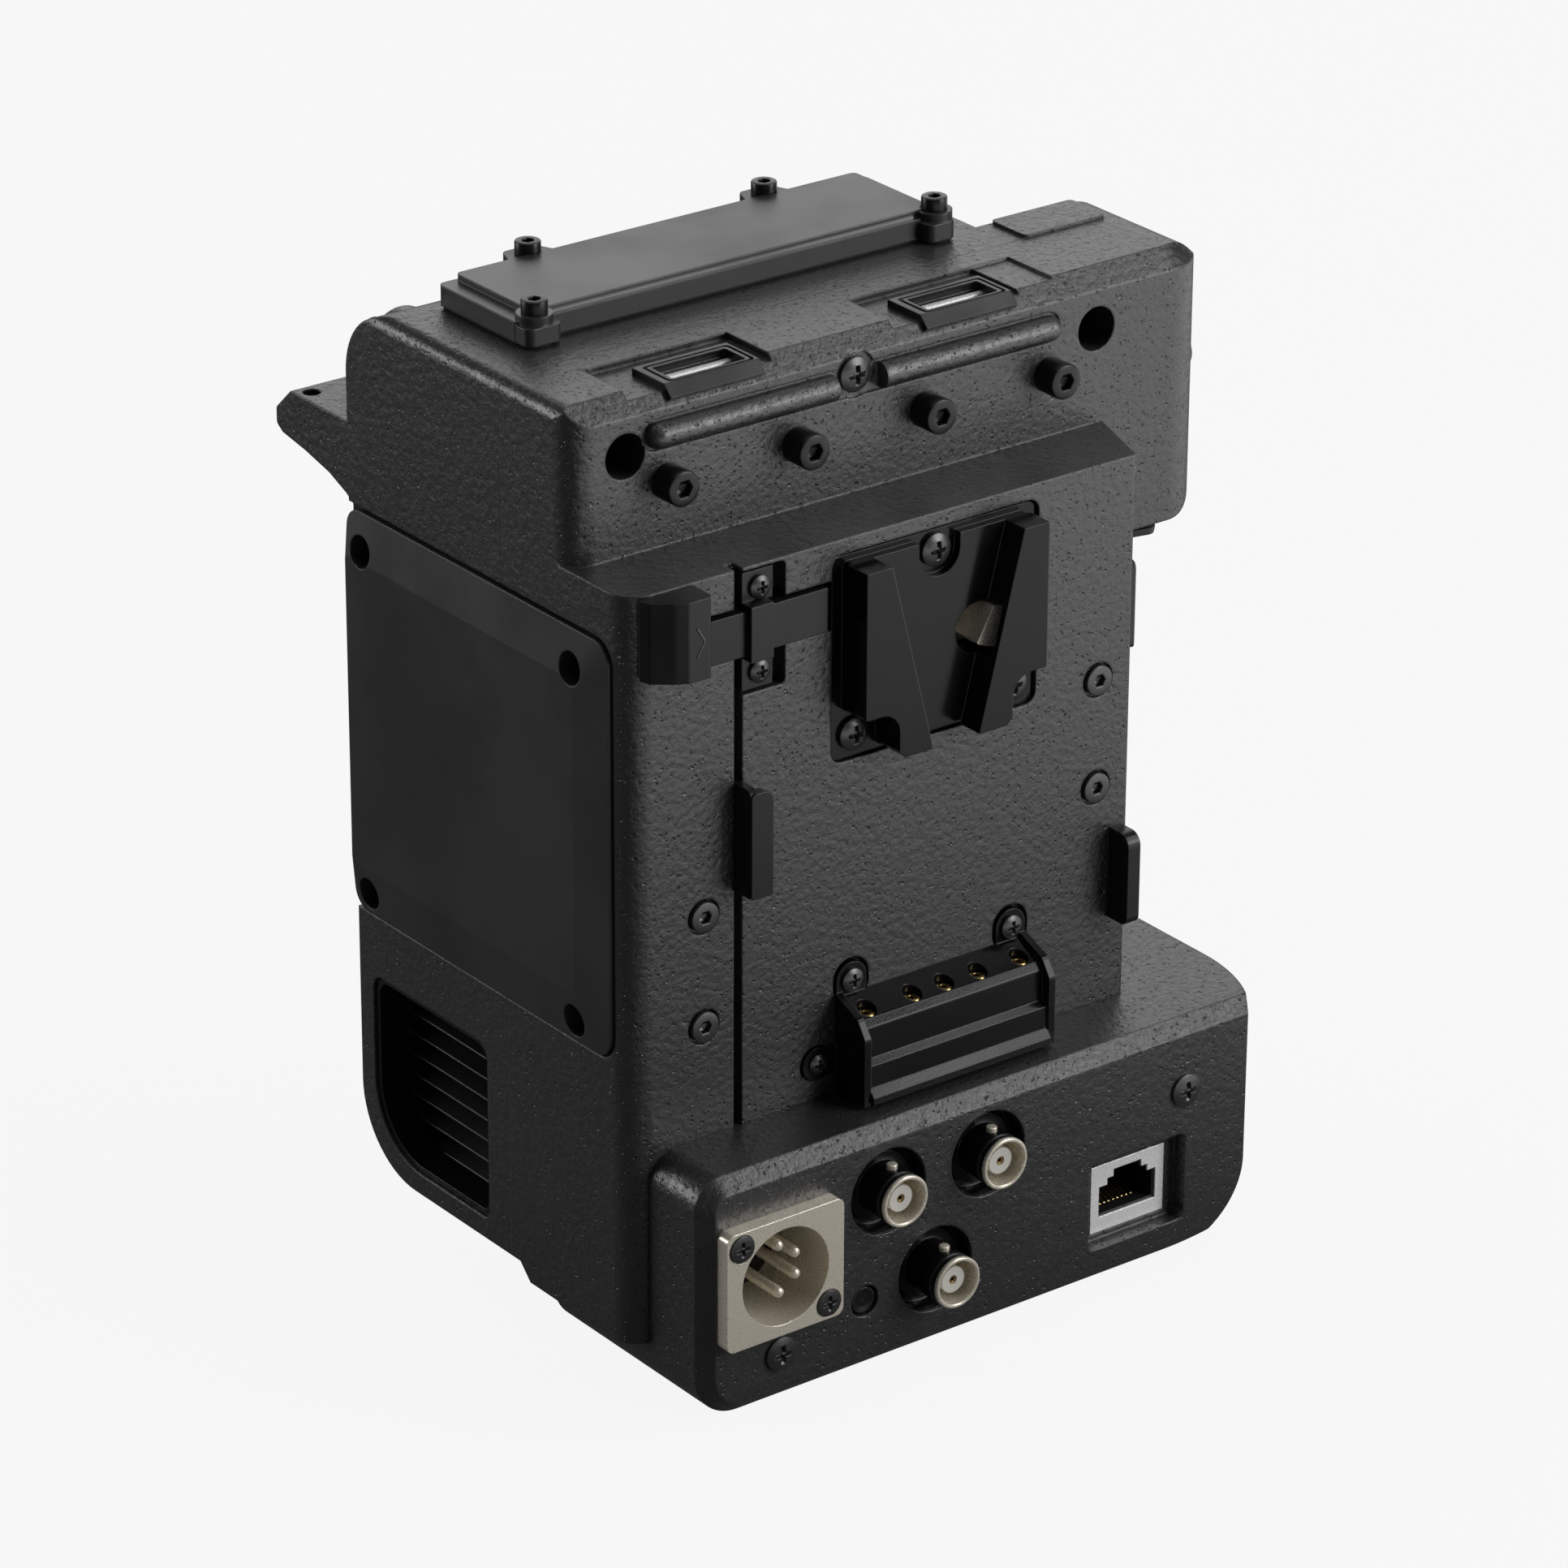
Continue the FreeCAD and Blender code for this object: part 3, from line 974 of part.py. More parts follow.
def terminal_block():
    """Battery terminal block with a stepped front, end plates and screw ears."""
    root = LOWER_REAR
    profile = [(root, 47.2, 0), (6.0, 47.2, 0), (6.0, 48.4, 0), (7.2, 50.0, 0), (7.4, 54.0, 0),
               (8.6, 54.9, 0), (8.8, 60.6, 0.6), (9.8, 61.9, 0.8), (root, 64.6, 0)]
    block = slab("x", profile, -TERMINAL_HALF + 1.4, TERMINAL_HALF - 1.4)
    ends = [slab("x", [(root, 46.8, 0), (6.8, 46.8, 0), (6.8, 59.6, 1.5), (9.0, 62.8, 1.5), (root, 65.4, 0)],
                 x, x + 1.4) for x in (-TERMINAL_HALF, TERMINAL_HALF - 1.4)]
    ears = [rounded("y", x - 3.2, x + 3.2, z - 4.4, z + 3.3, 3.1, root - 0.2, root + 2.0)
            for x, z in TERMINAL_EARS]
    side_x, side_z = TERMINAL_SIDE_SCREW
    ears.append(rod(side_x, root + 1.0, side_z, "rear", 6.2, 1.6))
    ears.append(box(side_x, -TERMINAL_HALF + 0.5, root - 0.6, root, side_z - 2.8, side_z + 2.8))
    half, low, high = TERMINAL_PLUG
    plug = box(-half + 0.2, half - 0.2, root - 1, root + 6, low + 0.2, high - 0.2)
    solid = joined([block, plug] + ends + ears)
    cuts = [rod(x, CONTACT_Y + 1.6, 66.0, "down", 3.6, 11) for x in CONTACTS_X]
    cuts += screw_bores(TERMINAL_EARS, root - 3, 2.7, 8)
    cuts += screw_bores([TERMINAL_SIDE_SCREW], root - 3, 2.2, 8)
    return without(solid, cuts)


def terminal_contacts():
    """Five round sockets that the battery's pins push into."""
    contact = turned([(0, 0), (0, 1.8), (6.5, 1.8), (7.0, 1.3), (7.0, 0.7), (1.5, 0.7), (1.5, 0)])
    return [placed(contact, x, CONTACT_Y + 1.6, 55.0, "up") for x in CONTACTS_X]


def terminal_screws():
    """Two ear screws and one small screw at the lower left."""
    ear = cross_screw(4.4, 1.1, 2.5, 8.0)
    small = cross_screw(3.8, 0.9, 2.0, 6.0)
    screws = [placed(ear, x, LOWER_REAR - 0.2, z, "rear") for x, z in TERMINAL_EARS]
    x, z = TERMINAL_SIDE_SCREW
    screws.append(placed(small, x, LOWER_REAR - 0.6, z, "rear"))
    return screws


def inlet_shell():
    """Square flange with a round barrel through the base panel."""
    x, z = INLET
    flange = rounded("y", x - HALF_FLANGE[0], x + HALF_FLANGE[0], z - HALF_FLANGE[1],
                     z + HALF_FLANGE[1], 1.6, -FLANGE_THICK, 0)
    barrel = rod(x, -1, z, "front", 21.4, 19)
    solid = joined([flange, barrel])
    cuts = [rod(x, -FLANGE_THICK - 1, z, "front", 18.4, 24)]
    for sx, sz in INLET_SCREWS:
        cuts.append(rod(sx, -FLANGE_THICK - 1, sz, "front", 2.7, 6))
        cuts.append(rod(sx, -FLANGE_THICK - 1, sz, "front", 5.2, 2.0))
    return without(solid, cuts)


def inlet_insert():
    """Insulating disc that carries the pins."""
    x, z = INLET
    disc = rod(x, 12.2, z, "front", 18.4, 5.8)
    return without(disc, [rod(px, 12, pz, "front", 2.0, 7) for px, pz in inlet_pin_places()])


def inlet_pin_places():
    """Centres of the four pins."""
    x, z = INLET
    return [(x + PIN_RING * math.cos(math.radians(angle)), z + PIN_RING * math.sin(math.radians(angle)))
            for angle in PIN_ANGLES]


def inlet_pins():
    """Four round pins with domed tips."""
    back = PIN_TIP - PIN_LENGTH
    pin = turned([(back, 0), (back, 1.0), (PIN_TIP - 1.1, 1.0), (PIN_TIP - 0.4, 0.85),
                  (PIN_TIP - 0.1, 0.45), (PIN_TIP, 0)])
    return [placed(pin, x, 0, z, "rear") for x, z in inlet_pin_places()]


def inlet_screws():
    """Two countersunk flange screws."""
    screw = cross_screw(5.0, 1.5, 2.5, 7.0)
    return [placed(screw, x, -FLANGE_THICK + 1.0, z, "rear") for x, z in INLET_SCREWS]


def coax_shells():
    """Three bayonet sockets with their shoulders in the wells."""
    shells = []
    for x, z, reach in COAX:
        barrel = turned([(-18, 0), (-18, 4.75), (-4.0, 4.75), (-4.0, 6.6), (-2.6, 6.6),
                         (-2.6, 4.82), (reach, 4.82), (reach, 4.1), (reach - 0.2, 4.05),
                         (-2.2, 4.05), (-2.2, 0)])
        barrel = without(barrel, [Part.makeCylinder(2.5, 20, V(0, 0, -19))])
        lugs = [rod(0, sign * 4.0, reach - 4.2, "front" if sign > 0 else "rear", 2.0, 1.75)
                for sign in (-1, 1)]
        shells.append(placed(joined([barrel] + lugs), x, 0, z, "rear"))
    return shells


def coax_insulators():
    """White sleeve round each centre contact."""
    sleeves = []
    for x, z, reach in COAX:
        sleeve = turned([(-18, 0.8), (-18, 2.5), (reach - 1.6, 2.5), (reach - 1.6, 0.8)])
        sleeves.append(placed(sleeve, x, 0, z, "rear"))
    return sleeves


def coax_contacts():
    """Hollow centre contact of each socket."""
    contacts = []
    for x, z, reach in COAX:
        contact = turned([(-20, 0), (-20, 0.8), (reach - 1.8, 0.8), (reach - 1.8, 0.4), (reach - 6, 0.4),
                          (reach - 6, 0)])
        contacts.append(placed(contact, x, 0, z, "rear"))
    return contacts


def coax_nuts():
    """Hex nuts that clamp the sockets behind the bracket."""
    corners = []
    for step in range(6):
        angle = math.radians(60 * step)
        corners.append((7.2 * math.cos(angle), 7.2 * math.sin(angle), 0))
    nut = without(slab("z", corners, 0, 2.4), [Part.makeCylinder(4.75, 6, V(0, 0, -1))])
    return [placed(nut, x, BASE_PANEL + BRACKET, z, "front") for x, z, _ in COAX]


def connector_bracket():
    """Metal plate behind the base panel that the base screws pull on."""
    y0 = BASE_PANEL
    y1 = y0 + BRACKET
    plate = rounded("y", -57.0, 54.0, 6.0, 41.0, 6, y0, y1)
    cuts = [rod(INLET[0], y0 - 1, INLET[1], "front", 22.0, 4)]
    cuts += [rod(x, y0 - 1, z, "front", 10.0, 4) for x, z, _ in COAX]
    cuts.append(box(NETWORK_X[0] - FIT, NETWORK_X[1] + FIT, y0 - 1, y1 + 1,
                    NETWORK_Z[0] - FIT, NETWORK_Z[1] + FIT))
    cuts.append(rod(RESET[0], y0 - 1, RESET[1], "front", 6.6, 4))
    cuts += screw_bores(BASE_SCREWS, y0 - 1, 3.0, 4)
    cuts += [rod(x, y0 - 1, z, "front", 3.2, 4) for x, z in INLET_SCREWS]
    return without(plate, cuts)


def network_shield():
    """Folded metal can round the network socket, with a stepped opening."""
    x0, x1 = NETWORK_X
    z0, z1 = NETWORK_Z
    middle = (x0 + x1) / 2
    can = box(x0, x1, NETWORK_Y, NETWORK_BACK, z0, z1)
    room = box(x0 + 0.4, x1 - 0.4, NETWORK_Y + 0.4, NETWORK_BACK + 1, z0 + 0.4, z1 - 0.4)
    opening = [box(middle - 6.5, middle + 6.5, 0, 5, z0 + 2.9, z0 + 8.9),
               box(middle - 3.2, middle + 3.2, 0, 5, z0 + 8, z0 + 11.6),
               box(middle - 4.6, middle + 4.6, 0, 5, z0 + 8, z0 + 10.2)]
    tabs = [box(x - 0.7, x + 0.7, NETWORK_Y, NETWORK_Y + 2.6, z1 - 0.2, z1 + 0.1)
            for x in (middle - 5.2, middle + 5.0)]
    return without(joined([can] + tabs), [room] + opening)


def network_insert():
    """Insulating body in the can with the plug cavity."""
    x0, x1 = NETWORK_X
    z0, z1 = NETWORK_Z
    middle = (x0 + x1) / 2
    body = box(x0 + 0.4, x1 - 0.4, NETWORK_Y + 0.4, NETWORK_BACK, z0 + 0.4, z1 - 0.4)
    cuts = [box(middle - 6.0, middle + 6.0, 0, 15, z0 + 3.3, z0 + 8.9),
            box(middle - 3.2, middle + 3.2, 0, 15, z0 + 8, z0 + 11.6),
            box(middle - 4.6, middle + 4.6, 0, 15, z0 + 8, z0 + 10.2)]
    return without(body, cuts)


def network_contacts():
    """Eight spring wires on the floor of the cavity."""
    middle = sum(NETWORK_X) / 2
    low = NETWORK_Z[0] + 3.3
    wires = []
    for index in range(8):
        x = middle - 3.57 + 1.02 * index
        profile = [(6.0, low, 0), (6.4, low, 0), (13.0, low + 2.0, 0), (15.0, low + 2.0, 0),
                   (15.0, low + 2.4, 0), (13.0, low + 2.4, 0)]
        wires.append(slab("x", profile, x - 0.2, x + 0.2))
    return wires


def reset_button():
    """Small round button with a retaining shoulder behind the panel."""
    button = turned([(-9.5, 0), (-9.5, 1.5), (-7.0, 1.5), (-7.0, 3.1), (-6.6, 3.1), (-6.6, 2.8),
                     (-0.9, 2.8), (-0.4, 2.3), (-0.7, 1.4), (-0.75, 0)])
    return placed(button, RESET[0], 0, RESET[1], "rear")


def reset_switch():
    """Push switch behind the button, on the connector board."""
    x, z = RESET
    body = box(x - 3, x + 3, 12.0, 18.0, z - 3, z + 3)
    return joined([body, rod(x, 10.6, z, "front", 2.4, 2)])


def connector_board():
    """Printed board behind the connectors."""
    board = box(-31.0, 55.0, 18.0, 19.6, 5.0, 41.0)
    cuts = [rod(x, 17, z, "front", 1.8, 4) for x, z, _ in COAX]
    cuts += [rod(x, 16, z, "front", 3.1, 6) for x, z in BOARD_PILLARS]
    return without(board, cuts)


def base_screws():
    """Two pan-head screws on the base panel."""
    screw = cross_screw(6.3, 1.1, 3.0, 9.5)
    return [placed(screw, x, 0, z, "rear") for x, z in BASE_SCREWS]


def inner_socket_screws():
    """Two screws from the rear shell down into the base, and two that hold the front arm."""
    short = socket_screw(5.5, 3.0, 3.0, 10.5, 2.5)
    thick = socket_screw(7.0, 4.0, 4.0, 9.5, 3.0)
    screws = [placed(short, x, y, BASE_TOP + WALL, "up") for x, y in BASE_JOINS]
    screws += [placed(thick, x, FRONT - WALL, ARM_SCREW_Z, "rear") for x in ARM_SCREWS_X]
    return screws


def inner_cross_screws():
    """Screws of the base bulkhead, the front plate and the main board."""
    long_screw = cross_screw(5.0, 1.3, 3.0, 8.5)
    short_screw = cross_screw(5.0, 1.3, 3.0, 5.0)
    screws = [placed(long_screw, x, BASE_FRONT, z, "front") for x, z in BULKHEAD_SCREWS]
    screws += [placed(short_screw, x, FRONT, z, "front") for x, z in FRONT_SCREWS]
    screws += [placed(short_screw, x, BOARD_Y + BOARD_THICK, z, "front") for x, z in RECESSED]
    return screws


def main_board():
    """Large printed board across the rear shell."""
    board = box(-56.0, 40.0, BOARD_Y, BOARD_Y + BOARD_THICK, 54.0, 139.0)
    return without(board, screw_bores(RECESSED, BOARD_Y - 1, 3.2, 4))


def board_standoffs():
    """Pillars: four under the main board and three under the connector board."""
    y0 = LOWER_REAR + REAR_WALL
    pillar = without(turned([(0, 0), (0, 3.0), (BOARD_Y - y0, 3.0), (BOARD_Y - y0, 0)]),
                     [Part.makeCylinder(1.5, 30, V(0, 0, -1))])
    low = turned([(0, 0), (0, 2.8), (9.5, 2.8), (9.5, 1.5), (11.5, 1.5), (11.5, 0)])
    pillars = [placed(pillar, x, y0, z, "front") for x, z in RECESSED]
    pillars += [placed(low, x, BASE_PANEL + BRACKET, z, "front") for x, z in BOARD_PILLARS]
    return pillars


def front_plate():
    """Plate that closes the front shell from inside and carries the camera connector."""
    x0, x1, z0, z1 = FRONT_OPENING
    plug = rounded("y", x0 + FIT, x1 - FIT, z0 + FIT, z1 - FIT, 4 - FIT, FRONT - WALL, FRONT)
    lip = rounded("y", x0 - FRONT_LIP, x1 + FRONT_LIP, z0 - FRONT_LIP, z1 + FRONT_LIP, 6,
                  FRONT - WALL - 2.0, FRONT - WALL)
    holes = [rod(x, FRONT - WALL - 3, z, "front", 3.0, 4) for x, z in FRONT_SCREWS]
    left, right, low, high = INTERFACE
    slot = box(left, right, FRONT - 6, FRONT + 1, low, high)
    return without(joined([plug, lip]), [slot] + holes)


def front_arm():
    """Tongue on the front face with a hollowed underside and one threaded hole."""
    top = ARM_TOP
    tip = FRONT + ARM_REACH
    points = [(FRONT, top, 0), (tip - 4.7, top, 0), (tip, top - 4.4, 1.0), (tip, top - 7.4, 1.0)]
    points += [(FRONT + reach, top - drop, 0) for reach, drop in reversed(ARM_UNDERSIDE)]
    solid = slab("x", points, ARM_X[0], ARM_X[1])
    cuts = [rod(*ARM_HOLE, top + 1, "down", 3.3, 8)]
    for x in ARM_SCREWS_X:
        cuts.append(rod(x, FRONT - 1, ARM_SCREW_Z, "front", 4.0, 8))
    return without(solid, cuts)


def interface_connector():
    """Multi-pole connector body in the front plate."""
    back = FRONT - WALL - 2.0
    left, right, low, high = INTERFACE
    body = joined([box(left + 0.2, right - 0.2, back - 3, FRONT + 2.5, low + 0.2, high - 0.2),
                   box(left - 2, right + 2, back - 3, back, low - 2, high + 2)])
    return without(body, [box(left + 2.5, right - 2.5, FRONT - 4, FRONT + 3, low + 2.2, high - 2.2)])


def interface_contacts():
    """Two rows of contact blades."""
    blades = []
    left, _, low, _ = INTERFACE
    for row in (low + 4.0, low + 7.4):
        for index in range(12):
            x = left + 4.1 + 2.3 * index
            blades.append(box(x, x + 0.8, FRONT - 4, FRONT + 1.2, row, row + 0.6))
    return blades


def cable_hook():
    """Flat wire loop under the wing that holds a cable."""
    z0 = WING_BOTTOM - 1.6
    foot = box(HOOK_X - 3, HOOK_X + 3, 34.0, 44.5, z0, WING_BOTTOM)
    bend = [(HOOK_X, 34.0, 0), (62.0, 32.0, 2), (66.0, 36.0, 3), (63.0, 41.0, 2), (HOOK_X, 44.5, 0)]
    loop = slab("z", bend, z0 - 0.8, z0 + 0.4)
    eye = slab("z", [(HOOK_X + 3, 35.6, 0.5), (61.4, 34.0, 1), (63.8, 36.3, 1.5), (61.8, 39.2, 1),
                     (HOOK_X + 3, 42.0, 0.5)], z0 - 2, z0 + 3)
    holes = [rod(HOOK_X, y, z0 - 1, "up", 2.2, 4) for y in HOOK_SCREWS_Y]
    return without(joined([foot, loop]), [eye] + holes)


def cable_hook_screws():
    """Two small screws that hold the loop."""
    screw = cross_screw(3.6, 0.9, 2.0, 5.0)
    return [placed(screw, HOOK_X, y, WING_BOTTOM - 1.6 - 0.8, "down") for y in HOOK_SCREWS_Y]


def side_strip():
    """Thin raised strip on the right side of the lower block."""
    run = UPPER_REAR - LOWER_REAR
    lean = LEDGE_RIGHT - 43.5
    length = math.hypot(run, lean)
    strip = rounded("x", 1.0, 9.0, 112.5, 128.7, 1.2, 0, 1.0)
    strip.rotate(V(0, 0, 0), V(0, 0, 1), -math.degrees(math.asin(lean / length)))
    strip.translate(V(43.5, LOWER_REAR, 0))
    return strip


PIECES = [rear_housing, front_frame, base_housing, base_bulkhead, side_cover, side_cover_gasket,
          side_cover_screws, vent_grille, fan_frame, fan_rotor, heat_sink, slot_cover,
          slot_cover_gasket, slot_cover_screws, slot_bay, slot_connector, inset_frames, inset_bars,
          shell_screws, standoffs, mounting_bolts, lock_receiver, lock_receiver_screws, lock_latch,
          latch_spring, release_slider, slider_spring, slider_keeper, slider_keeper_screws,
          guide_lugs, recessed_screws, terminal_block, terminal_contacts, terminal_screws,
          inlet_shell, inlet_insert, inlet_pins, inlet_screws, coax_shells, coax_insulators,
          coax_contacts, coax_nuts, connector_bracket, network_shield, network_insert,
          network_contacts, reset_button, reset_switch, connector_board, base_screws,
          inner_socket_screws, inner_cross_screws, main_board, board_standoffs, front_plate,
          front_arm, interface_connector, interface_contacts, cable_hook, side_strip]

for piece in PIECES:
    add(piece.__name__, piece())
SHAPES["cable_hook"] += cable_hook_screws()

everything = Part.makeCompound([solid for solids in SHAPES.values() for solid in solids])
bounds = everything.BoundBox
shift = V(-(bounds.XMin + bounds.XMax) / 2, -(bounds.YMin + bounds.YMax) / 2, -bounds.ZMin)
print("overall", bounds.XLength, bounds.YLength, bounds.ZLength, "shift", tuple(shift))
for name, solids in SHAPES.items():
    shape = solids[0] if len(solids) == 1 else Part.makeCompound(solids)
    shape.translate(shift)
    print(name, shape.isValid(), len(shape.Solids), round(shape.Volume, 1))
    shape.exportStep("parts/" + name + ".step")
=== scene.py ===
# %% [markdown]
# # Rear extension unit of a video camera
# The real object is a cast metal box that bolts to the back of a camera. It carries a V-shaped
# battery receiver, battery contacts, a power inlet, three coaxial sockets and a network socket.
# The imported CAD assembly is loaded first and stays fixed: every new piece is drawn to fit it.

# %% Load the assembly
import json
import math

import bmesh
import bpy
import numpy as np
from mathutils import Euler, Matrix, Vector


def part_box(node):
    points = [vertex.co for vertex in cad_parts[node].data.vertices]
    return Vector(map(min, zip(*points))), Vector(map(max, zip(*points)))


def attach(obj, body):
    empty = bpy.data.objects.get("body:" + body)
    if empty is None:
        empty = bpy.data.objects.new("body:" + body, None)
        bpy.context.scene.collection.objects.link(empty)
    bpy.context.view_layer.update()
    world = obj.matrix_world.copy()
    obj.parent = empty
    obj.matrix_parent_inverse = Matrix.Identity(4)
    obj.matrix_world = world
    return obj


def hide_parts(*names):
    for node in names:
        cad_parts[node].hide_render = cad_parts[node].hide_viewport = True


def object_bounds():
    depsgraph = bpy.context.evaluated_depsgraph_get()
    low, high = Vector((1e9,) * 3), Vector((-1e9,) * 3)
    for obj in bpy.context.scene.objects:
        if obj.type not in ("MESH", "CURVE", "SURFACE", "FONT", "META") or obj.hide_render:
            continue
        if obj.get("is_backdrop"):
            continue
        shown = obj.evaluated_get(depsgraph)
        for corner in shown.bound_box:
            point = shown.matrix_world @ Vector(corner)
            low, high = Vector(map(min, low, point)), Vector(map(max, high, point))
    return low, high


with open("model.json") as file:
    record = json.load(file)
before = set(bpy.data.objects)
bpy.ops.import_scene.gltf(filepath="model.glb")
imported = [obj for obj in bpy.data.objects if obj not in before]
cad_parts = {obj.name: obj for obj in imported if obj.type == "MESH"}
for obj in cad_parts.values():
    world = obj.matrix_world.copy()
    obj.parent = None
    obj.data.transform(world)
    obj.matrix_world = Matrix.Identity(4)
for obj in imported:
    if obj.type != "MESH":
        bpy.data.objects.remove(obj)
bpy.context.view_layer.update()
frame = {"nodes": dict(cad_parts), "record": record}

# %% [markdown]
# ## One drawing for every piece
# The drawing of the unit counts millimetres from the connector base: x to the right of its middle,
# y to the camera from its rear face, and z up from its underside. Packing moved it as a whole, and
# Blender counts in metres. In the drawing, the lowest corner of the cast rear shell's box is at
# (-64.5, 15.5, 10), so the present place of that corner tells how far everything was moved. The
# shift could be written down, but measured here it keeps the new pieces in place if the assembly
# grows.

# %% From drawing millimetres to scene metres
MM = 0.001
SHELL_CORNER = np.array([-64.5, 15.5, 10.0])
SHIFT = np.array(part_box("rear_housing")[0]) / MM - SHELL_CORNER


def spot(points):
    """Drawing points in millimetres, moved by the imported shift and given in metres."""
    return (np.asarray(points, float) + SHIFT) * MM


print("shift of the drawing", SHIFT.round(3))

# %% [markdown]
# ## Camera
# The photograph was taken from far away with a long lens, about 37 degrees to the left of the
# rear and 25 degrees above it. A camera placed by eye never quite lines up. So the lens and the
# place were worked out from round sockets of known size and from the straight edges of the shell,
# and the script only writes them down.

# %% Camera at the photograph's viewing angle
CAMERA_PLACE = spot([-666.2, -819.0, 589.8])
CAMERA_TURN = -37.23
CAMERA_FALL = 24.69
CAMERA_ROLL = 0.247
FOCAL_PIXELS = 8455.0
PHOTO_PIXELS = 1932.0

lens = bpy.data.cameras.new("camera")
lens.sensor_width = 36.0
lens.lens = FOCAL_PIXELS / PHOTO_PIXELS * lens.sensor_width
lens.clip_start = 0.1
lens.clip_end = 50.0
camera = bpy.data.objects.new("camera", lens)
bpy.context.scene.collection.objects.link(camera)
aim = Euler((math.radians(90 - CAMERA_FALL), 0, math.radians(CAMERA_TURN)), "XYZ").to_matrix()
roll = Matrix.Rotation(math.radians(CAMERA_ROLL), 3, "Z")
camera.matrix_world = Matrix.Translation(CAMERA_PLACE) @ (aim @ roll).to_4x4()
bpy.context.scene.camera = camera
print("lens", round(lens.lens, 2), "mm")

# %% [markdown]
# ## Lamps
# A black object needs wide soft light, or its faces turn to flat black. An even world would light
# every face the same, so five rectangular lamps do it. A large one hangs above. One stands beyond
# the object, in the direction that the top mirrors to the camera: so the top is the lightest face.
# The rear face is lit from the right and the left face, weakly, from the far left. Neither reaches
# the rounded corner between them, which stays near black, as it is in the photograph. A small lamp
# high on the right draws bright lines along the edges that look up and back.

# %% Five soft lamps
MIDDLE = (0.0, 0.0, 0.09)
REAR_FACE = (0.03, -0.02, 0.12)
LOWER_REAR = (0.02, -0.03, 0.08)


def lamp(name, place, target, width, height, power):
    """A rectangular soft lamp at a place, turned to a target. Lengths are in metres, and the
    power is in watts."""
    data = bpy.data.lights.new(name, "AREA")
    data.shape = "RECTANGLE"
    data.size = width
    data.size_y = height
    data.energy = power
    lamp_object = bpy.data.objects.new(name, data)
    bpy.context.scene.collection.objects.link(lamp_object)
    away = Vector(place) - Vector(target)
    turn = away.to_track_quat("Z", "Y").to_matrix().to_4x4()
    lamp_object.matrix_world = Matrix.Translation(place) @ turn


lamp("lamp_above", (0.1, 0.25, 1.25), MIDDLE, 1.1, 0.9, 3.2)
lamp("lamp_behind", (0.82, 1.08, 0.72), MIDDLE, 1.2, 1.0, 5.2)
lamp("lamp_rear_right", (0.62, -0.85, 0.45), REAR_FACE, 0.6, 0.5, 6.2)
lamp("lamp_high", (0.74, -0.55, 0.98), LOWER_REAR, 0.4, 0.4, 2.2)
lamp("lamp_left", (-1.0, 1.05, 0.3), MIDDLE, 0.8, 0.5, 6.0)
bpy.context.scene.view_settings.view_transform = "Standard"
print("lamps", [(data.name, round(data.energy, 1)) for data in bpy.data.lights])

# %% [markdown]
# ## White surroundings
# The background is plain white, but white light from everywhere would turn the black object grey.
# A backdrop lit by more lamps has the same fault. The Light Path node solves it: it tells which
# kind of ray asks, so the camera sees white while the rays that light the object find a nearly
# black world. Glossy rays get a brightness of their own, because a satin face looks as light as
# what it mirrors. A few helpers stand for the steps that every graph of nodes repeats.

# %% A world that only the camera sees as white
SKY_LIGHT = 0.05
SKY_MIRRORED = 0.07


def node(tree, kind, **settings):
    """A shader node with its settings."""
    made = tree.nodes.new(kind)
    for key, value in settings.items():
        setattr(made, key, value)
    return made


def feed(tree, value, socket):
    """Links an input to another node's output, or sets it to a plain value."""
    if isinstance(value, bpy.types.NodeSocket):
        tree.links.new(value, socket)
    else:
        socket.default_value = value


def maths(tree, operation, *values):
    """The result of one math node, whose values are numbers or outputs."""
    made = node(tree, "ShaderNodeMath", operation=operation)
    for value, socket in zip(values, made.inputs):
        feed(tree, value, socket)
    return made.outputs[0]


def white_where_seen(tree, lit, amount, mirrored):
    """A lit shader, of which camera rays see an amount replaced by plain white. Glossy rays see
    only white at a mirrored brightness, which is a number or an output."""
    path = node(tree, "ShaderNodeLightPath").outputs
    seen = maths(tree, "MAXIMUM", path["Is Camera Ray"], path["Is Transmission Ray"])
    share = maths(tree, "MULTIPLY_ADD", seen, amount, path["Is Glossy Ray"])
    white = node(tree, "ShaderNodeEmission")
    feed(tree, maths(tree, "MAXIMUM", seen, mirrored), white.inputs["Strength"])
    mix = node(tree, "ShaderNodeMixShader")
    for value, socket in zip((share, lit.outputs[0], white.outputs[0]), mix.inputs):
        feed(tree, value, socket)
    return mix.outputs[0]


world = bpy.data.worlds.new("studio")
world.use_nodes = True
bpy.context.scene.world = world
sky = world.node_tree.nodes["Background"]
sky.inputs["Color"].default_value = (0.93, 0.95, 1.0, 1)
sky.inputs["Strength"].default_value = SKY_LIGHT
shown = white_where_seen(world.node_tree, sky, 1.0, SKY_MIRRORED)
feed(world.node_tree, shown, world.node_tree.nodes["World Output"].inputs["Surface"])
print("world", len(world.node_tree.nodes), "nodes")

# %% [markdown]
# ## Floor
# The object stands on a pale floor. Nine tenths of what the camera sees of it is plain white, and
# one tenth is a grey surface that takes the object's shadow. The satin paint of the rear face
# mirrors the floor to its right. What glossy rays see of the floor is a painted reflection with a
# painted shadow: dark at the object's foot, it grows white with the distance. A picture of a floor
# could do that too, but a smooth step over the distance in one direction takes only two nodes.

# %% A floor that takes the shadow
FLOOR_HALF = 4
FLOOR_LEVEL = -0.0002
FLOOR_WHITE = 0.9
RIGHT_REAR = (0.61, -0.79, 0.0)


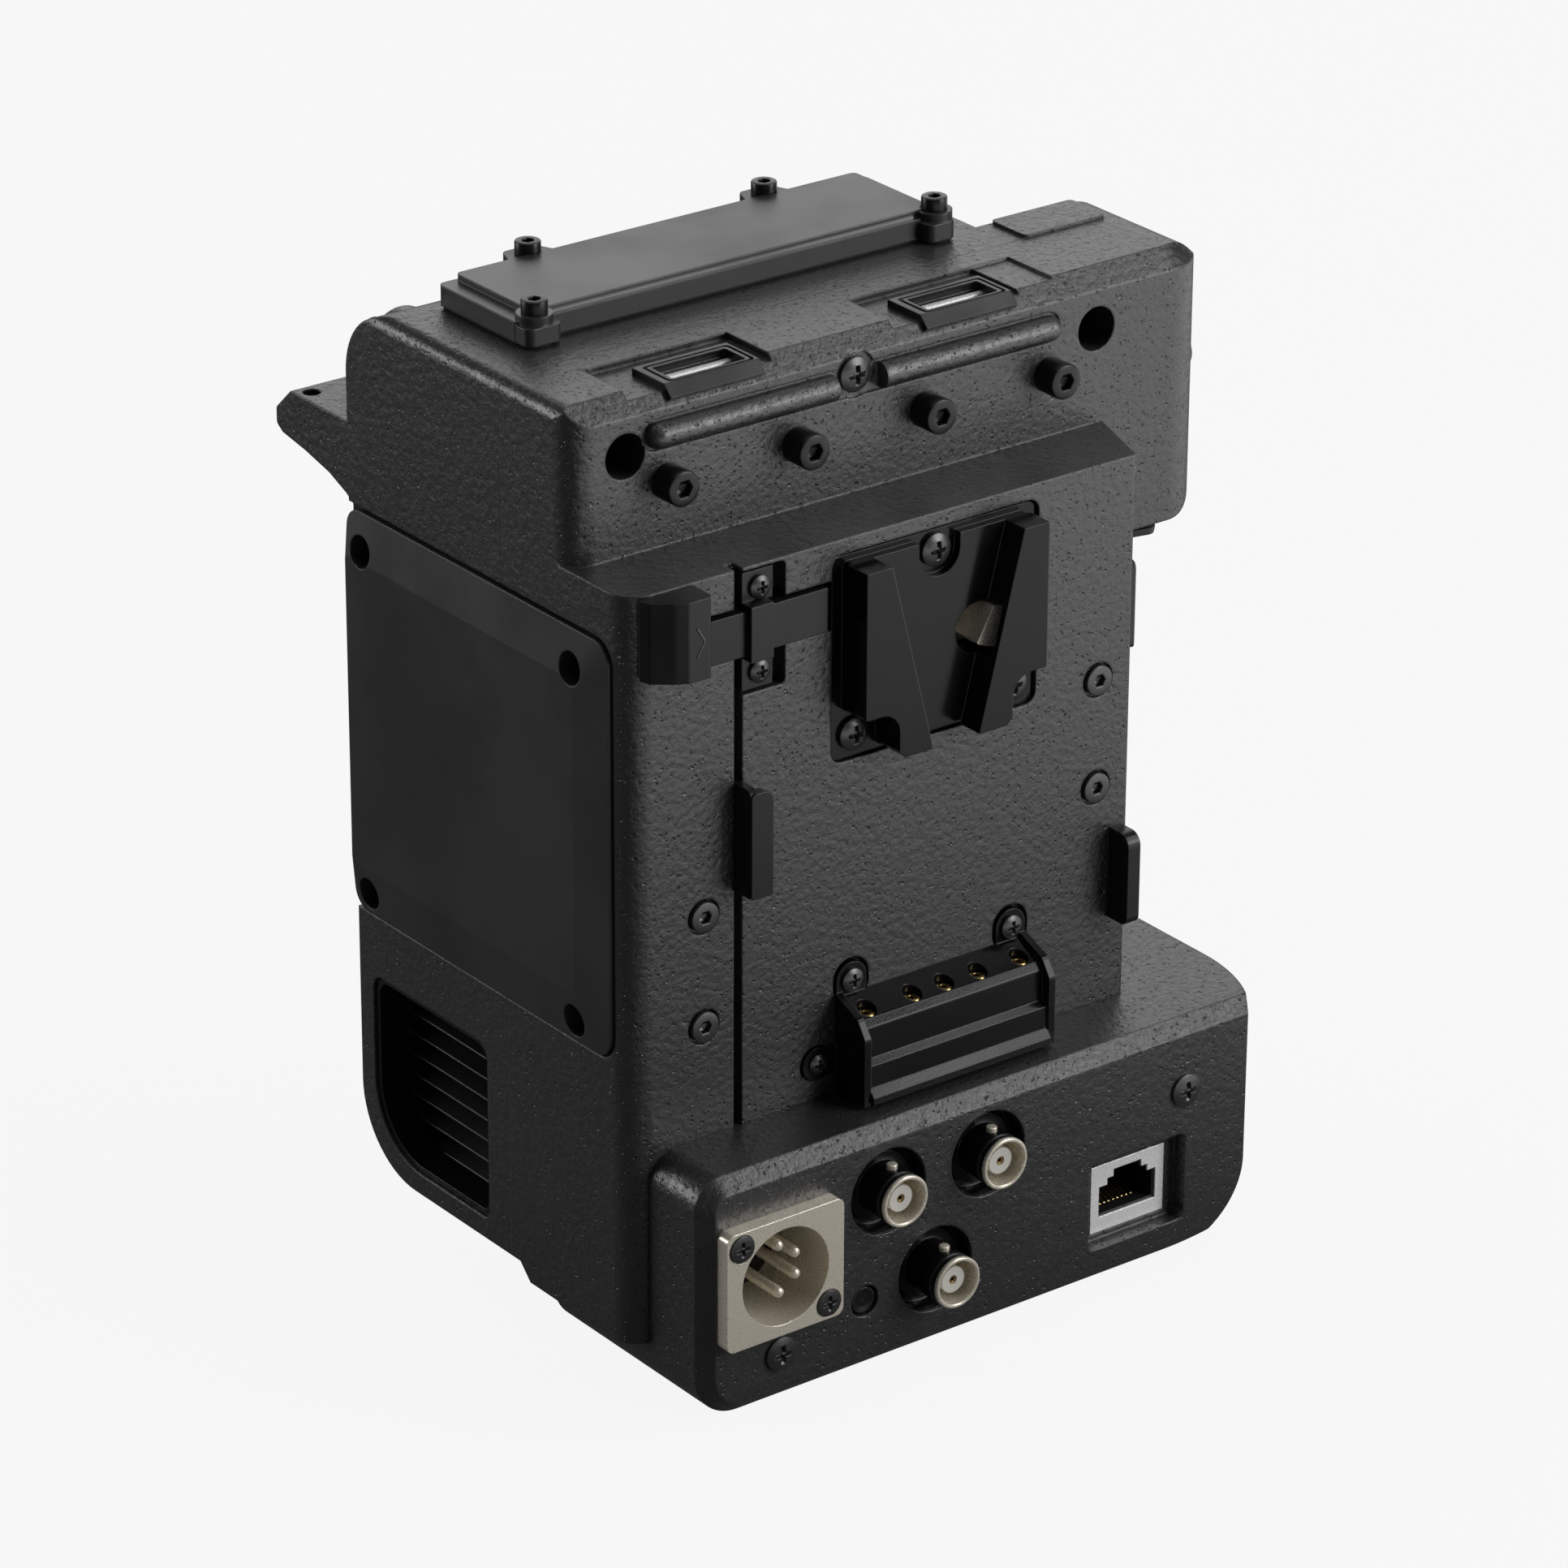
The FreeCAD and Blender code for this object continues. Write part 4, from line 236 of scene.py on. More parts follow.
def vector_maths(tree, operation, first, second):
    """The result of one vector math node: a number for a dot product, or else a vector."""
    made = node(tree, "ShaderNodeVectorMath", operation=operation)
    feed(tree, first, made.inputs[0])
    feed(tree, second, made.inputs[1])
    return made.outputs["Value" if operation == "DOT_PRODUCT" else "Vector"]


def smooth_step(tree, value, low, high, out_low, out_high):
    """Maps a value from one range to another along a curve that is level at both ends."""
    step = node(tree, "ShaderNodeMapRange", interpolation_type="SMOOTHSTEP")
    titles = ("Value", "From Min", "From Max", "To Min", "To Max")
    for title, number in zip(titles, (value, low, high, out_low, out_high)):
        feed(tree, number, step.inputs[title])
    return step.outputs["Result"]


def painted_floor_reflection(tree):
    """Painted brightness of the floor for glossy rays: a painted shadow at the object's foot that
    turns white in a smooth step over the distance to the right rear, which is the dot product of the
    place with that direction."""
    place = node(tree, "ShaderNodeTexCoord").outputs["Object"]
    away = vector_maths(tree, "DOT_PRODUCT", place, RIGHT_REAR)
    # Painted shadow near the object, rising to a painted bright reflection further out.
    return smooth_step(tree, away, 0.09, 0.40, 0.07, 1.45)


corners = [(x * FLOOR_HALF, y * FLOOR_HALF, FLOOR_LEVEL)
           for x, y in ((-1, -1), (1, -1), (1, 1), (-1, 1))]
floor_mesh = bpy.data.meshes.new("floor")
floor_mesh.from_pydata(corners, [], [(0, 1, 2, 3)])
floor = bpy.data.objects.new("floor", floor_mesh)
bpy.context.scene.collection.objects.link(floor)
floor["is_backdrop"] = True
floor_paint = bpy.data.materials.new("floor_paint")
floor_paint.use_nodes = True
floor_tree = floor_paint.node_tree
floor_lit = floor_tree.nodes["Principled BSDF"]
floor_lit.inputs["Base Color"].default_value = (0.5, 0.5, 0.5, 1)
floor_lit.inputs["Roughness"].default_value = 0.9
# Glossy rays see the painted floor reflection and its painted shadow.
shown = white_where_seen(floor_tree, floor_lit, FLOOR_WHITE, painted_floor_reflection(floor_tree))
feed(floor_tree, shown, floor_tree.nodes["Material Output"].inputs["Surface"])
floor_mesh.materials.append(floor_paint)
print("floor", len(floor_tree.nodes), "nodes")

# %% [markdown]
# ## Rounded edges
# No real edge is sharp. Where two faces meet, the paint rounds over and catches the light, and
# handling wears it a little paler. Bevelling every packed edge would change the measured shapes.
# The Bevel node only bends the normal near an edge, and how far it leans away from the true normal
# is a mask for the pale edge. That edge is partly wear and partly a painted highlight where the
# rounded paint catches the light. Several finishes share this, so it is a node group, which puts
# out only normals and masks.

# %% A node group for soft edges, their wear and a painted highlight
def new_group(name, inputs, outputs):
    """An empty shader node group with named sockets; inputs are (name, kind, value)."""
    tree = bpy.data.node_groups.new(name, "ShaderNodeTree")
    for title, kind, value in inputs:
        socket = tree.interface.new_socket(name=title, in_out="INPUT", socket_type=kind)
        if value is not None:
            socket.default_value = value
    for title, kind in outputs:
        tree.interface.new_socket(name=title, in_out="OUTPUT", socket_type=kind)
    return tree, tree.nodes.new("NodeGroupInput").outputs, tree.nodes.new("NodeGroupOutput").inputs


def build_edges():
    """The rounded normal, and a mask that rises as its cosine to the true normal falls."""
    tree, entry, leave = new_group(
        "soft_edges",
        [("Radius", "NodeSocketFloat", 0.0004)],
        [("Normal", "NodeSocketVector"), ("Edge", "NodeSocketFloat")])
    bevel = node(tree, "ShaderNodeBevel", samples=4)
    feed(tree, entry["Radius"], bevel.inputs["Radius"])
    rounded = bevel.outputs[0]
    surface = node(tree, "ShaderNodeNewGeometry").outputs["Normal"]
    lean = vector_maths(tree, "DOT_PRODUCT", rounded, surface)
    feed(tree, rounded, leave["Normal"])
    feed(tree, smooth_step(tree, lean, 0.8, 0.995, 1.0, 0.0), leave["Edge"])
    return tree


SOFT_EDGES = build_edges()
print("soft_edges", len(SOFT_EDGES.nodes), "nodes")

# %% [markdown]
# ## Patches and grain
# A large face is never quite even: skin grease and dust leave soft patches on it, and every
# moulded or painted skin has a fine grain. Painted pictures could show both, but a noise in the
# object's own space needs no unwrapping, has no seams and stays sharp from near.

# %% A node group for patches and grain
def noise(tree, vector, scale, detail, output="Fac"):
    """A noise with a number of features per metre: one value, or three as a colour."""
    made = node(tree, "ShaderNodeTexNoise")
    for title, value in (("Vector", vector), ("Scale", scale), ("Detail", detail)):
        feed(tree, value, made.inputs[title])
    return made.outputs[output]


def build_patches():
    """Large soft patches and fine grain, both between 0 and 1."""
    tree, entry, leave = new_group(
        "patches_and_grain",
        [("Vector", "NodeSocketVector", None), ("Patch scale", "NodeSocketFloat", 28.0),
         ("Grain scale", "NodeSocketFloat", 4200.0)],
        [("Patch", "NodeSocketFloat"), ("Grain", "NodeSocketFloat")])
    patch = noise(tree, entry["Vector"], entry["Patch scale"], 3.0)
    feed(tree, smooth_step(tree, patch, 0.3, 0.7, 0.0, 1.0), leave["Patch"])
    feed(tree, noise(tree, entry["Vector"], entry["Grain scale"], 1.0), leave["Grain"])
    return tree


PATCHES = build_patches()
print("patches_and_grain", len(PATCHES.nodes), "nodes")

# %% [markdown]
# ## Brushing
# Drawn and machined metal has fine lines along one way, and a turned screw has an even grain. Both
# are one noise: its space is squeezed by a different amount along each axis, so that its spots
# become lines along the axis with the smallest number. A picture of scratches would have to be
# laid on every face by hand.

# %% A node group for fine lines
def build_brushing():
    """Fine lines: a noise of the place times a vector, which squeezes it along each axis."""
    tree, entry, leave = new_group(
        "brushing",
        [("Vector", "NodeSocketVector", None),
         ("Squeeze", "NodeSocketVector", (80.0, 4000.0, 4000.0))],
        [("Lines", "NodeSocketFloat")])
    squeezed = vector_maths(tree, "MULTIPLY", entry["Vector"], entry["Squeeze"])
    feed(tree, noise(tree, squeezed, 1.0, 2.0), leave["Lines"])
    return tree


BRUSHING = build_brushing()
print("brushing", len(BRUSHING.nodes), "nodes")

# %% [markdown]
# ## Pits of the textured paint
# The shells wear a thick textured paint: a smooth skin with small dark pits, about a millimetre
# apart, and a faint orange peel between them. Noise alone gives spots that flow into one another.
# A Voronoi texture cuts space into cells with one middle each, so every pit stands by itself. Only
# some cells hold a pit, and a little noise bends them so that none is round.

# %% A node group for pits and orange peel
BEND_METRES = 0.0011
FINE_PIT_DEPTH = 0.6
PEEL_HEIGHT = 1.6


def build_pits():
    """Pits in cells of two sizes. A pit is deepest within its core and ends at its reach, both
    measured from the middle of its cell, where a cell is about 1 wide."""
    tree, entry, leave = new_group(
        "paint_pits",
        [("Vector", "NodeSocketVector", None), ("Density", "NodeSocketFloat", 620.0),
         ("Share", "NodeSocketFloat", 0.55)],
        [("Height", "NodeSocketFloat"), ("Pit", "NodeSocketFloat"), ("Peel", "NodeSocketFloat")])
    bend = noise(tree, entry["Vector"], 900.0, 1.0, "Color")
    bend = vector_maths(tree, "MULTIPLY", bend, (BEND_METRES, BEND_METRES, BEND_METRES))
    bent = vector_maths(tree, "ADD", entry["Vector"], bend)
    layers = []
    for finer, core, reach in ((1.0, 0.10, 0.30), (1.8, 0.08, 0.26)):
        cells = node(tree, "ShaderNodeTexVoronoi", feature="F1")
        feed(tree, bent, cells.inputs["Vector"])
        feed(tree, maths(tree, "MULTIPLY", entry["Density"], finer), cells.inputs["Scale"])
        hollow = smooth_step(tree, cells.outputs["Distance"], core, reach, 1.0, 0.0)
        pick = node(tree, "ShaderNodeSeparateColor")
        feed(tree, cells.outputs["Color"], pick.inputs[0])
        filled = maths(tree, "LESS_THAN", pick.outputs[0], entry["Share"])
        layers.append(maths(tree, "MULTIPLY", hollow, filled))
    fine = maths(tree, "MULTIPLY", layers[1], FINE_PIT_DEPTH)
    pit = maths(tree, "MAXIMUM", layers[0], fine)
    peel = noise(tree, entry["Vector"], 800.0, 3.0)
    height = maths(tree, "SUBTRACT", maths(tree, "MULTIPLY", peel, PEEL_HEIGHT), pit)
    for title, value in (("Height", height), ("Pit", pit), ("Peel", peel)):
        feed(tree, value, leave[title])
    return tree


PAINT_PITS = build_pits()
print("paint_pits", len(PAINT_PITS.nodes), "nodes")

# %% [markdown]
# ## Finishes
# A finish is a function that returns a material. A helper gives each one the same skeleton:
# object coordinates feed the groups, the groups feed colour, roughness and a bump, and the
# Principled shader itself stays in the material with its plain numbers set on its own sockets.
# Thirteen materials written out one by one would hide how little they differ.

# %% The skeleton of a finish
FINISHES = {}


class Finish:
    """A material being made, with its coordinates and shader at hand."""

    def __init__(self, name, metallic, specular):
        self.material = bpy.data.materials.new(name)
        self.material.use_nodes = True
        self.tree = self.material.node_tree
        self.shader = self.tree.nodes["Principled BSDF"]
        self.shader.inputs["Metallic"].default_value = metallic
        self.shader.inputs["Specular IOR Level"].default_value = specular
        self.place = node(self.tree, "ShaderNodeTexCoord").outputs["Object"]

    def group(self, tree, **values):
        """The outputs of a node group, with its vector wired and its values set."""
        made = node(self.tree, "ShaderNodeGroup", node_tree=tree)
        for title, value in values.items():
            made.inputs[title.replace("_", " ")].default_value = value
        if "Vector" in made.inputs:
            feed(self.tree, self.place, made.inputs["Vector"])
        return made.outputs

    def blend(self, mask, first, second):
        """A colour between two others; each is three numbers or an output."""
        made = node(self.tree, "ShaderNodeMix", data_type="RGBA")
        feed(self.tree, mask, made.inputs["Factor"])
        sockets = [socket for socket in made.inputs if socket.type == "RGBA"]
        for value, socket in zip((first, second), sockets):
            feed(self.tree, (*value, 1) if isinstance(value, tuple) else value, socket)
        return [socket for socket in made.outputs if socket.type == "RGBA"][0]

    def worn_and_highlit(self, skin, edge, amount, pale):
        """A skin that turns paler by an amount at its edges: partly rubbed wear, partly a painted
        highlight.
        """
        return self.blend(maths(self.tree, "MULTIPLY", edge, amount), skin, pale)

    def colour(self, skin):
        """Makes a colour the base colour of the material."""
        feed(self.tree, skin, self.shader.inputs["Base Color"])

    def roughness(self, mask, low, high):
        """Roughness that follows a mask from low to high."""
        feed(self.tree, smooth_step(self.tree, mask, 0.0, 1.0, low, high),
             self.shader.inputs["Roughness"])

    def bump(self, height, distance, strength, normal=None):
        """Relief of a height, over a distance in metres and an already rounded normal."""
        made = node(self.tree, "ShaderNodeBump")
        made.inputs["Distance"].default_value = distance
        made.inputs["Strength"].default_value = strength
        feed(self.tree, height, made.inputs["Height"])
        if normal is not None:
            feed(self.tree, normal, made.inputs["Normal"])
        feed(self.tree, made.outputs[0], self.shader.inputs["Normal"])


def keep_finish(maker):
    """Makes a finish and keeps it under the name of its function."""
    made = maker()
    FINISHES[maker.__name__] = made
    print(maker.__name__, len(made.node_tree.nodes), "nodes")


# %% [markdown]
# ## Textured paint
# The two cast shells, the base and the arm wear the pitted paint. Its pits are painted darker than
# the skin, as painted shade in the hollows. Its edges are paler, partly from wear and partly as a
# painted highlight. The pits could be modelled, but each is only about a tenth of a millimetre
# deep, so a bump that bends the light is enough.

# %% Textured paint of the cast shells
def crackle_paint():
    """Charcoal skin with painted shade in its pits, and paler edges from wear and a painted
    highlight.
    """
    finish = Finish("crackle_paint", 0.0, 0.85)
    edges = finish.group(SOFT_EDGES, Radius=0.0006)
    patches = finish.group(PATCHES, Patch_scale=22.0)
    pits = finish.group(PAINT_PITS, Density=820.0, Share=0.55)
    skin = finish.blend(patches["Patch"], (0.024, 0.024, 0.0255), (0.030, 0.030, 0.0315))
    # Painted shade: the pits are darkened nearly to black.
    pit_shade = maths(finish.tree, "MULTIPLY", pits["Pit"], 0.85)
    skin = finish.blend(pit_shade, skin, (0.006, 0.006, 0.0065))
    # Paler edges: partly wear, partly a painted highlight.
    finish.colour(finish.worn_and_highlit(skin, edges["Edge"], 0.5, (0.105, 0.105, 0.108)))
    finish.roughness(pits["Peel"], 0.30, 0.46)
    finish.bump(pits["Height"], 0.00014, 0.9, edges["Normal"])
    return finish.material


keep_finish(crackle_paint)

# %% [markdown]
# ## Smooth paint
# The flat covers wear nearly the same tone without the pits: a satin skin with a fine even grain.
# It is its own function, because textured paint with its pits turned off would still carry their
# nodes.

# %% Smooth paint of the covers
def cover_paint():
    """Satin skin with a fine even grain and no pits."""
    finish = Finish("cover_paint", 0.0, 0.6)
    edges = finish.group(SOFT_EDGES, Radius=0.0004)
    patches = finish.group(PATCHES, Patch_scale=30.0, Grain_scale=2600.0)
    skin = finish.blend(patches["Patch"], (0.028, 0.028, 0.0315), (0.033, 0.033, 0.0365))
    # Paler edges: partly wear, partly a painted highlight.
    finish.colour(finish.worn_and_highlit(skin, edges["Edge"], 0.45, (0.11, 0.11, 0.115)))
    finish.roughness(patches["Patch"], 0.34, 0.44)
    finish.bump(patches["Grain"], 0.00003, 0.5, edges["Normal"])
    return finish.material


keep_finish(cover_paint)

# %% [markdown]
# ## Plastics and rubber
# Plastic and rubber parts take an even skin from their mould. They differ only in tone, gloss and
# grain, so one function makes them all from those numbers. Gloss comes from a low roughness, while
# a low specular level keeps a black part black beside a bright lamp.

# %% Moulded skins
def moulded(name, dark, light, rough, specular, grain):
    """Moulded skin: two near tones, a fine grain and paler edges, partly wear and partly a painted
    highlight. Rough is a pair, low and high."""
    finish = Finish(name, 0.0, specular)
    edges = finish.group(SOFT_EDGES, Radius=0.0003)
    patches = finish.group(PATCHES, Patch_scale=45.0, Grain_scale=grain)
    skin = finish.blend(patches["Patch"], dark, light)
    # Paler edges: partly wear, partly a painted highlight.
    finish.colour(finish.worn_and_highlit(skin, edges["Edge"], 0.6, (0.13, 0.13, 0.133)))
    finish.roughness(patches["Patch"], *rough)
    finish.bump(patches["Grain"], 0.00002, 0.4, edges["Normal"])
    return finish.material


def satin_black():
    """Frames, guides, louvres and the release button: black with a soft sheen."""
    return moulded("satin_black", (0.009, 0.009, 0.010), (0.012, 0.012, 0.013),
                   (0.26, 0.36), 0.32, 3000.0)


def gloss_black():
    """The battery receiver, the terminal block and the bushings: black and smooth."""
    return moulded("gloss_black", (0.005, 0.005, 0.006), (0.008, 0.008, 0.009),
                   (0.14, 0.24), 0.22, 2200.0)


def rubber():
    """Seals under the covers: black and matt."""
    return moulded("rubber", (0.008, 0.008, 0.008), (0.012, 0.012, 0.012),
                   (0.6, 0.75), 0.3, 2600.0)


def dark_insulator():
    """Dark inserts of the power inlet and the network socket."""
    return moulded("dark_insulator", (0.008, 0.008, 0.008), (0.012, 0.012, 0.012),
                   (0.35, 0.5), 0.4, 2600.0)


def white_insulator():
    """Inserts of the coaxial sockets: a warm white."""
    return moulded("white_insulator", (0.62, 0.60, 0.55), (0.70, 0.68, 0.63),
                   (0.38, 0.5), 0.4, 2600.0)


for maker in (satin_black, gloss_black, rubber, dark_insulator, white_insulator):
    keep_finish(maker)

# %% [markdown]
# ## Metals
# Screws, rims and contacts are bare or plated metal. A metal shows only what it mirrors, and in
# this dark studio that is mostly black. So the steels and the nickel are only partly metallic, which
# lets their own tone show between the reflections, while gold and aluminium are fully so. Fine
# lines in tone and gloss keep them from looking moulded.

# %% Bare and plated metals
EVEN = (2500.0, 2500.0, 2500.0)
UPRIGHT = (3000.0, 3000.0, 120.0)


def metal(name, dark, light, rough, squeeze, metallic=1.0):
    """Metal whose tone and gloss follow fine lines and wide patches. Rough is a pair, low and
    high."""
    finish = Finish(name, metallic, 0.5)
    edges = finish.group(SOFT_EDGES, Radius=0.00025)
    patches = finish.group(PATCHES, Patch_scale=60.0)
    lines = finish.group(BRUSHING, Squeeze=squeeze)["Lines"]
    tone = finish.blend(lines, dark, light)
    dull = maths(finish.tree, "MULTIPLY", patches["Patch"], 0.25)
    finish.colour(finish.blend(dull, tone, dark))
    finish.roughness(lines, *rough)
    finish.bump(lines, 0.00002, 0.35, edges["Normal"])
    return finish.material


def black_steel():
    """Screws and bolts: blackened."""
    return metal("black_steel", (0.075, 0.075, 0.077), (0.115, 0.115, 0.118),
                 (0.28, 0.42), EVEN, 0.75)


def nickel():
    """The inlet, the coaxial rims and the latch: plated, a little warm."""
    return metal("nickel", (0.86, 0.79, 0.65), (0.94, 0.88, 0.75), (0.24, 0.34), EVEN, 0.5)


def bright_steel():
    """The strap bars, the network shield and the springs: bright."""
    return metal("bright_steel", (0.93, 0.93, 0.93), (0.97, 0.97, 0.96), (0.22, 0.32), EVEN, 0.25)


def gold():
    """Plating of the contacts."""
    return metal("gold", (0.62, 0.44, 0.17), (0.80, 0.60, 0.27), (0.20, 0.34), EVEN)


def aluminium():
    """The heat sink and the bulkhead inside: plain, with upright lines."""
    return metal("aluminium", (0.50, 0.50, 0.51), (0.62, 0.62, 0.63), (0.35, 0.5), UPRIGHT)


for maker in (black_steel, nickel, bright_steel, gold, aluminium):
    keep_finish(maker)

# %% [markdown]
# ## Printed boards
# The boards inside are green solder mask over copper. They are hardly seen, so real tracks would
# be wasted: the noise that makes brushed lines, cut at one level, gives lanes that look like them.

# %% Printed board
def board():
    """Green solder mask with paler copper lanes under it."""
    finish = Finish("board", 0.0, 0.5)
    patches = finish.group(PATCHES, Patch_scale=300.0, Grain_scale=900.0)
    lanes = finish.group(BRUSHING, Squeeze=(900.0, 900.0, 30.0))["Lines"]
    copper = smooth_step(finish.tree, lanes, 0.5, 0.54, 0.0, 1.0)
    finish.colour(finish.blend(copper, (0.010, 0.065, 0.030), (0.020, 0.120, 0.055)))
    finish.roughness(patches["Patch"], 0.28, 0.4)
    finish.bump(copper, 0.00003, 0.6)
    return finish.material


keep_finish(board)

# %% [markdown]
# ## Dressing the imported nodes
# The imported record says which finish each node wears. Each node could be named here with its
# finish, but then the two lists could come to differ, so one loop reads the record.

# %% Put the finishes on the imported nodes
SLOT_OF = {part["node"]: part["material_slot"] for part in frame["record"]["subparts"]}
for name, cad in frame["nodes"].items():
    cad.data.materials.clear()
    cad.data.materials.append(FINISHES[SLOT_OF[name]])
print("finishes", len(FINISHES), "nodes", len(SLOT_OF))

# %% [markdown]
# ## Measured solids
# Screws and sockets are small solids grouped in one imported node. Their places could be written
# down again here, but then they would stay behind when the assembly changes. So the box of each
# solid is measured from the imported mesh, by joining triangles that share a corner.

# %% Boxes of the separate solids in a node
SAME_PLACE = MM * 0.001


def solids_of(name):
    """Lowest and highest corner, in drawing millimetres, of each separate solid in a node.

    Corners at the same place get one number; each number then takes the lowest number among its
    triangle's corners, again and again, until every solid has a single number left.
    """
    mesh = frame["nodes"][name].data
    points = np.empty(len(mesh.vertices) * 3)
    mesh.vertices.foreach_get("co", points)
    points = points.reshape(-1, 3)
    corners = np.empty(len(mesh.loops), int)
    mesh.loops.foreach_get("vertex_index", corners)
    keys, number = np.unique((points / SAME_PLACE).round().astype(int), axis=0, return_inverse=True)
    number = number.reshape(-1)
    triangles = number[corners].reshape(-1, 3)
    label = np.arange(len(keys))
    while True:
        lowest = label[triangles].min(axis=1)
        spread = label.copy()
        np.minimum.at(spread, triangles.ravel(), np.repeat(lowest, 3))
        spread = spread[spread]
        if (spread == label).all():
            break
        label = spread
    drawn = points / MM - SHIFT
    owner = label[number]
    boxes = [(drawn[owner == one].min(axis=0), drawn[owner == one].max(axis=0))
             for one in np.unique(label)]
    return sorted(boxes, key=lambda pair: tuple(pair[0].round(3)))


print("base screws", [(low.round(2), high.round(2)) for low, high in solids_of("base_screws")])

# %% [markdown]
# ## Turned pieces
# Screw heads, sockets and barrels are turned on a lathe, so each is a stack of rings: a height and
# a radius for every ring. A ring needn't be round. A key recess is the same ring with a radius that
# changes with the angle, so one kind of surface makes domes, hexagons and crosses. The alternative,
# cutting a recess with a boolean, leaves long thin faces that shade badly.

# %% Rings and their outlines
ANGLES = np.linspace(0, 2 * np.pi, 96, endpoint=False)
FACING = {"rear": ((1, 0, 0), (0, 0, 1), (0, -1, 0)), "left": ((0, -1, 0), (0, 0, 1), (-1, 0, 0)),
          "right": ((0, 1, 0), (0, 0, 1), (1, 0, 0)), "up": ((1, 0, 0), (0, 1, 0), (0, 0, 1)),
          "down": ((1, 0, 0), (0, -1, 0), (0, 0, -1))}


def hexagon(across):
    """Distance to a hexagon's edge in each direction: half its width over the cosine of the
    angle from the nearest flat."""
    return across / 2 / np.cos(ANGLES % (np.pi / 3) - np.pi / 6)


def cross(arm, half):
    """Distance to a plus sign's edge: half its bar width over the sine of the angle from the
    nearest bar, and no more than the bar's length."""
    turn = np.abs((ANGLES + np.pi / 4) % (np.pi / 2) - np.pi / 4)
    return np.minimum(arm, half / np.maximum(np.sin(turn), 0.001))


def ring_stack(rows):
    """Grid of points (radius times cosine, radius times sine, height) over the rows and angles.
    Each row is a height and a radius, and either may differ by angle."""
    heights = np.stack([np.broadcast_to(height, ANGLES.shape) for height, radius in rows])
    radii = np.stack([np.broadcast_to(radius, ANGLES.shape) for height, radius in rows])
    return np.stack([radii * np.cos(ANGLES), radii * np.sin(ANGLES), heights], axis=-1)


def stand(points, place, facing):
    """Points made about +z, turned to face one way and moved to a drawing place."""
    return points @ np.array(FACING[facing], float) + np.asarray(place, float)


print("a 2 mm key reaches", hexagon(2.0).min().round(3), "to", hexagon(2.0).max().round(3), "mm")

# %% [markdown]
# ## From grids to objects
# A grid of points becomes a mesh when each small square of neighbours becomes a face. Its columns
# close on themselves, as those of a ring do. Rings of no width end in one point, where doubles are
# merged, so the surface is closed. The object stays at the origin with its place in its mesh, as
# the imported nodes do, so that patterns fit on both alike.

# %% Faces of a grid, and one object from several grids
SHARP_DEGREES = 35.0


def sheet(points):
    """Corner points and quads of a grid whose last column joins the first."""
    rows, columns = points.shape[:2]
    index = np.arange(rows * columns).reshape(rows, columns)
    index = np.concatenate([index, index[:, :1]], axis=1)
    quads = np.stack([index[:-1, :-1], index[:-1, 1:], index[1:, 1:], index[1:, :-1]], axis=-1)
    return points.reshape(-1, 3), quads.reshape(-1, 4)


def piece(name, sheets, slot, nodes, body="unit"):
    """One object from several sheets in drawing millimetres, dressed and seated on its body."""
    points = []
    quads = []
    count = 0
    for sheet_points, sheet_quads in sheets:
        points.append(sheet_points)
        quads.append(sheet_quads + count)
        count += len(sheet_points)
    mesh = bpy.data.meshes.new(name)
    mesh.from_pydata(spot(np.concatenate(points)).tolist(), [], np.concatenate(quads).tolist())
    merged = bmesh.new()
    merged.from_mesh(mesh)
    bmesh.ops.remove_doubles(merged, verts=merged.verts, dist=SAME_PLACE)
    merged.to_mesh(mesh)
    merged.free()
    mesh.polygons.foreach_set("use_smooth", np.ones(len(mesh.polygons), bool))
    mesh.set_sharp_from_angle(angle=math.radians(SHARP_DEGREES))
    made = bpy.data.objects.new(name, mesh)
    bpy.context.scene.collection.objects.link(made)
    mesh.materials.append(FINISHES[slot])
    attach(made, body)
    if nodes:
        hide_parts(*nodes)
    print(name, len(mesh.polygons), "faces")


print("a tube of five rings has", len(sheet(ring_stack([(0, 1.0)] * 5))[1]), "faces")

# %% [markdown]
# ## Cross-head screws
# The screws on the shells are pan heads with a low dome and a tapered cross recess, in blackened
# steel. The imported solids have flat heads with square-cut slots, which is right for their size but
# too hard in close view. Each head here is one stack of rings from its tip to the recess floor.

# %% Domed heads with tapered recesses
DOME = 0.55
CROSS_ARM = 0.56
CROSS_HALF = 0.15
CROSS_DEPTH = 0.5
CROSS_SHANK = 0.42


def head_place(low, high, facing, height):
    """From the box of a screw: the middle of its head's end, the head's radius, and the length
    of the shank, which is what the head's height leaves of the box."""
    outward = np.array(FACING[facing][2])
    axis = np.abs(outward).argmax()
    radius = np.delete(high - low, axis).max() / 2
    place = (low + high) / 2
    place[axis] = high[axis] if outward[axis] > 0 else low[axis]
    return place, radius, (high - low)[axis] - height


def cross_head(low, high, facing, height, dome=DOME):
    """One screw whose head fills its solid's box: a shank, a rim, a dome that falls with the
    square of the radius, and a cross recess that narrows to its floor."""
    place, radius, length = head_place(low, high, facing, height)
    shank = radius * CROSS_SHANK
    fall = height * dome
    arm = cross(radius * CROSS_ARM, radius * CROSS_HALF)
    lip = -fall * (arm / radius) ** 2
    bottom = -min(height * 0.85, radius * CROSS_DEPTH)
    rows = [(-length - height, 0.0), (-length - height, shank), (-height, shank),
            (-height, radius), (-fall, radius)]
    for share in np.linspace(0.98, 0.66, 5):
        rows.append((-fall * share ** 2, radius * share))
    rows += [(lip - 0.01, arm * 1.05), (lip - 0.08, arm * 0.98), (bottom, arm * 0.62),
             (bottom - 0.1, 0.0)]
    return sheet(stand(ring_stack(rows), place, facing))


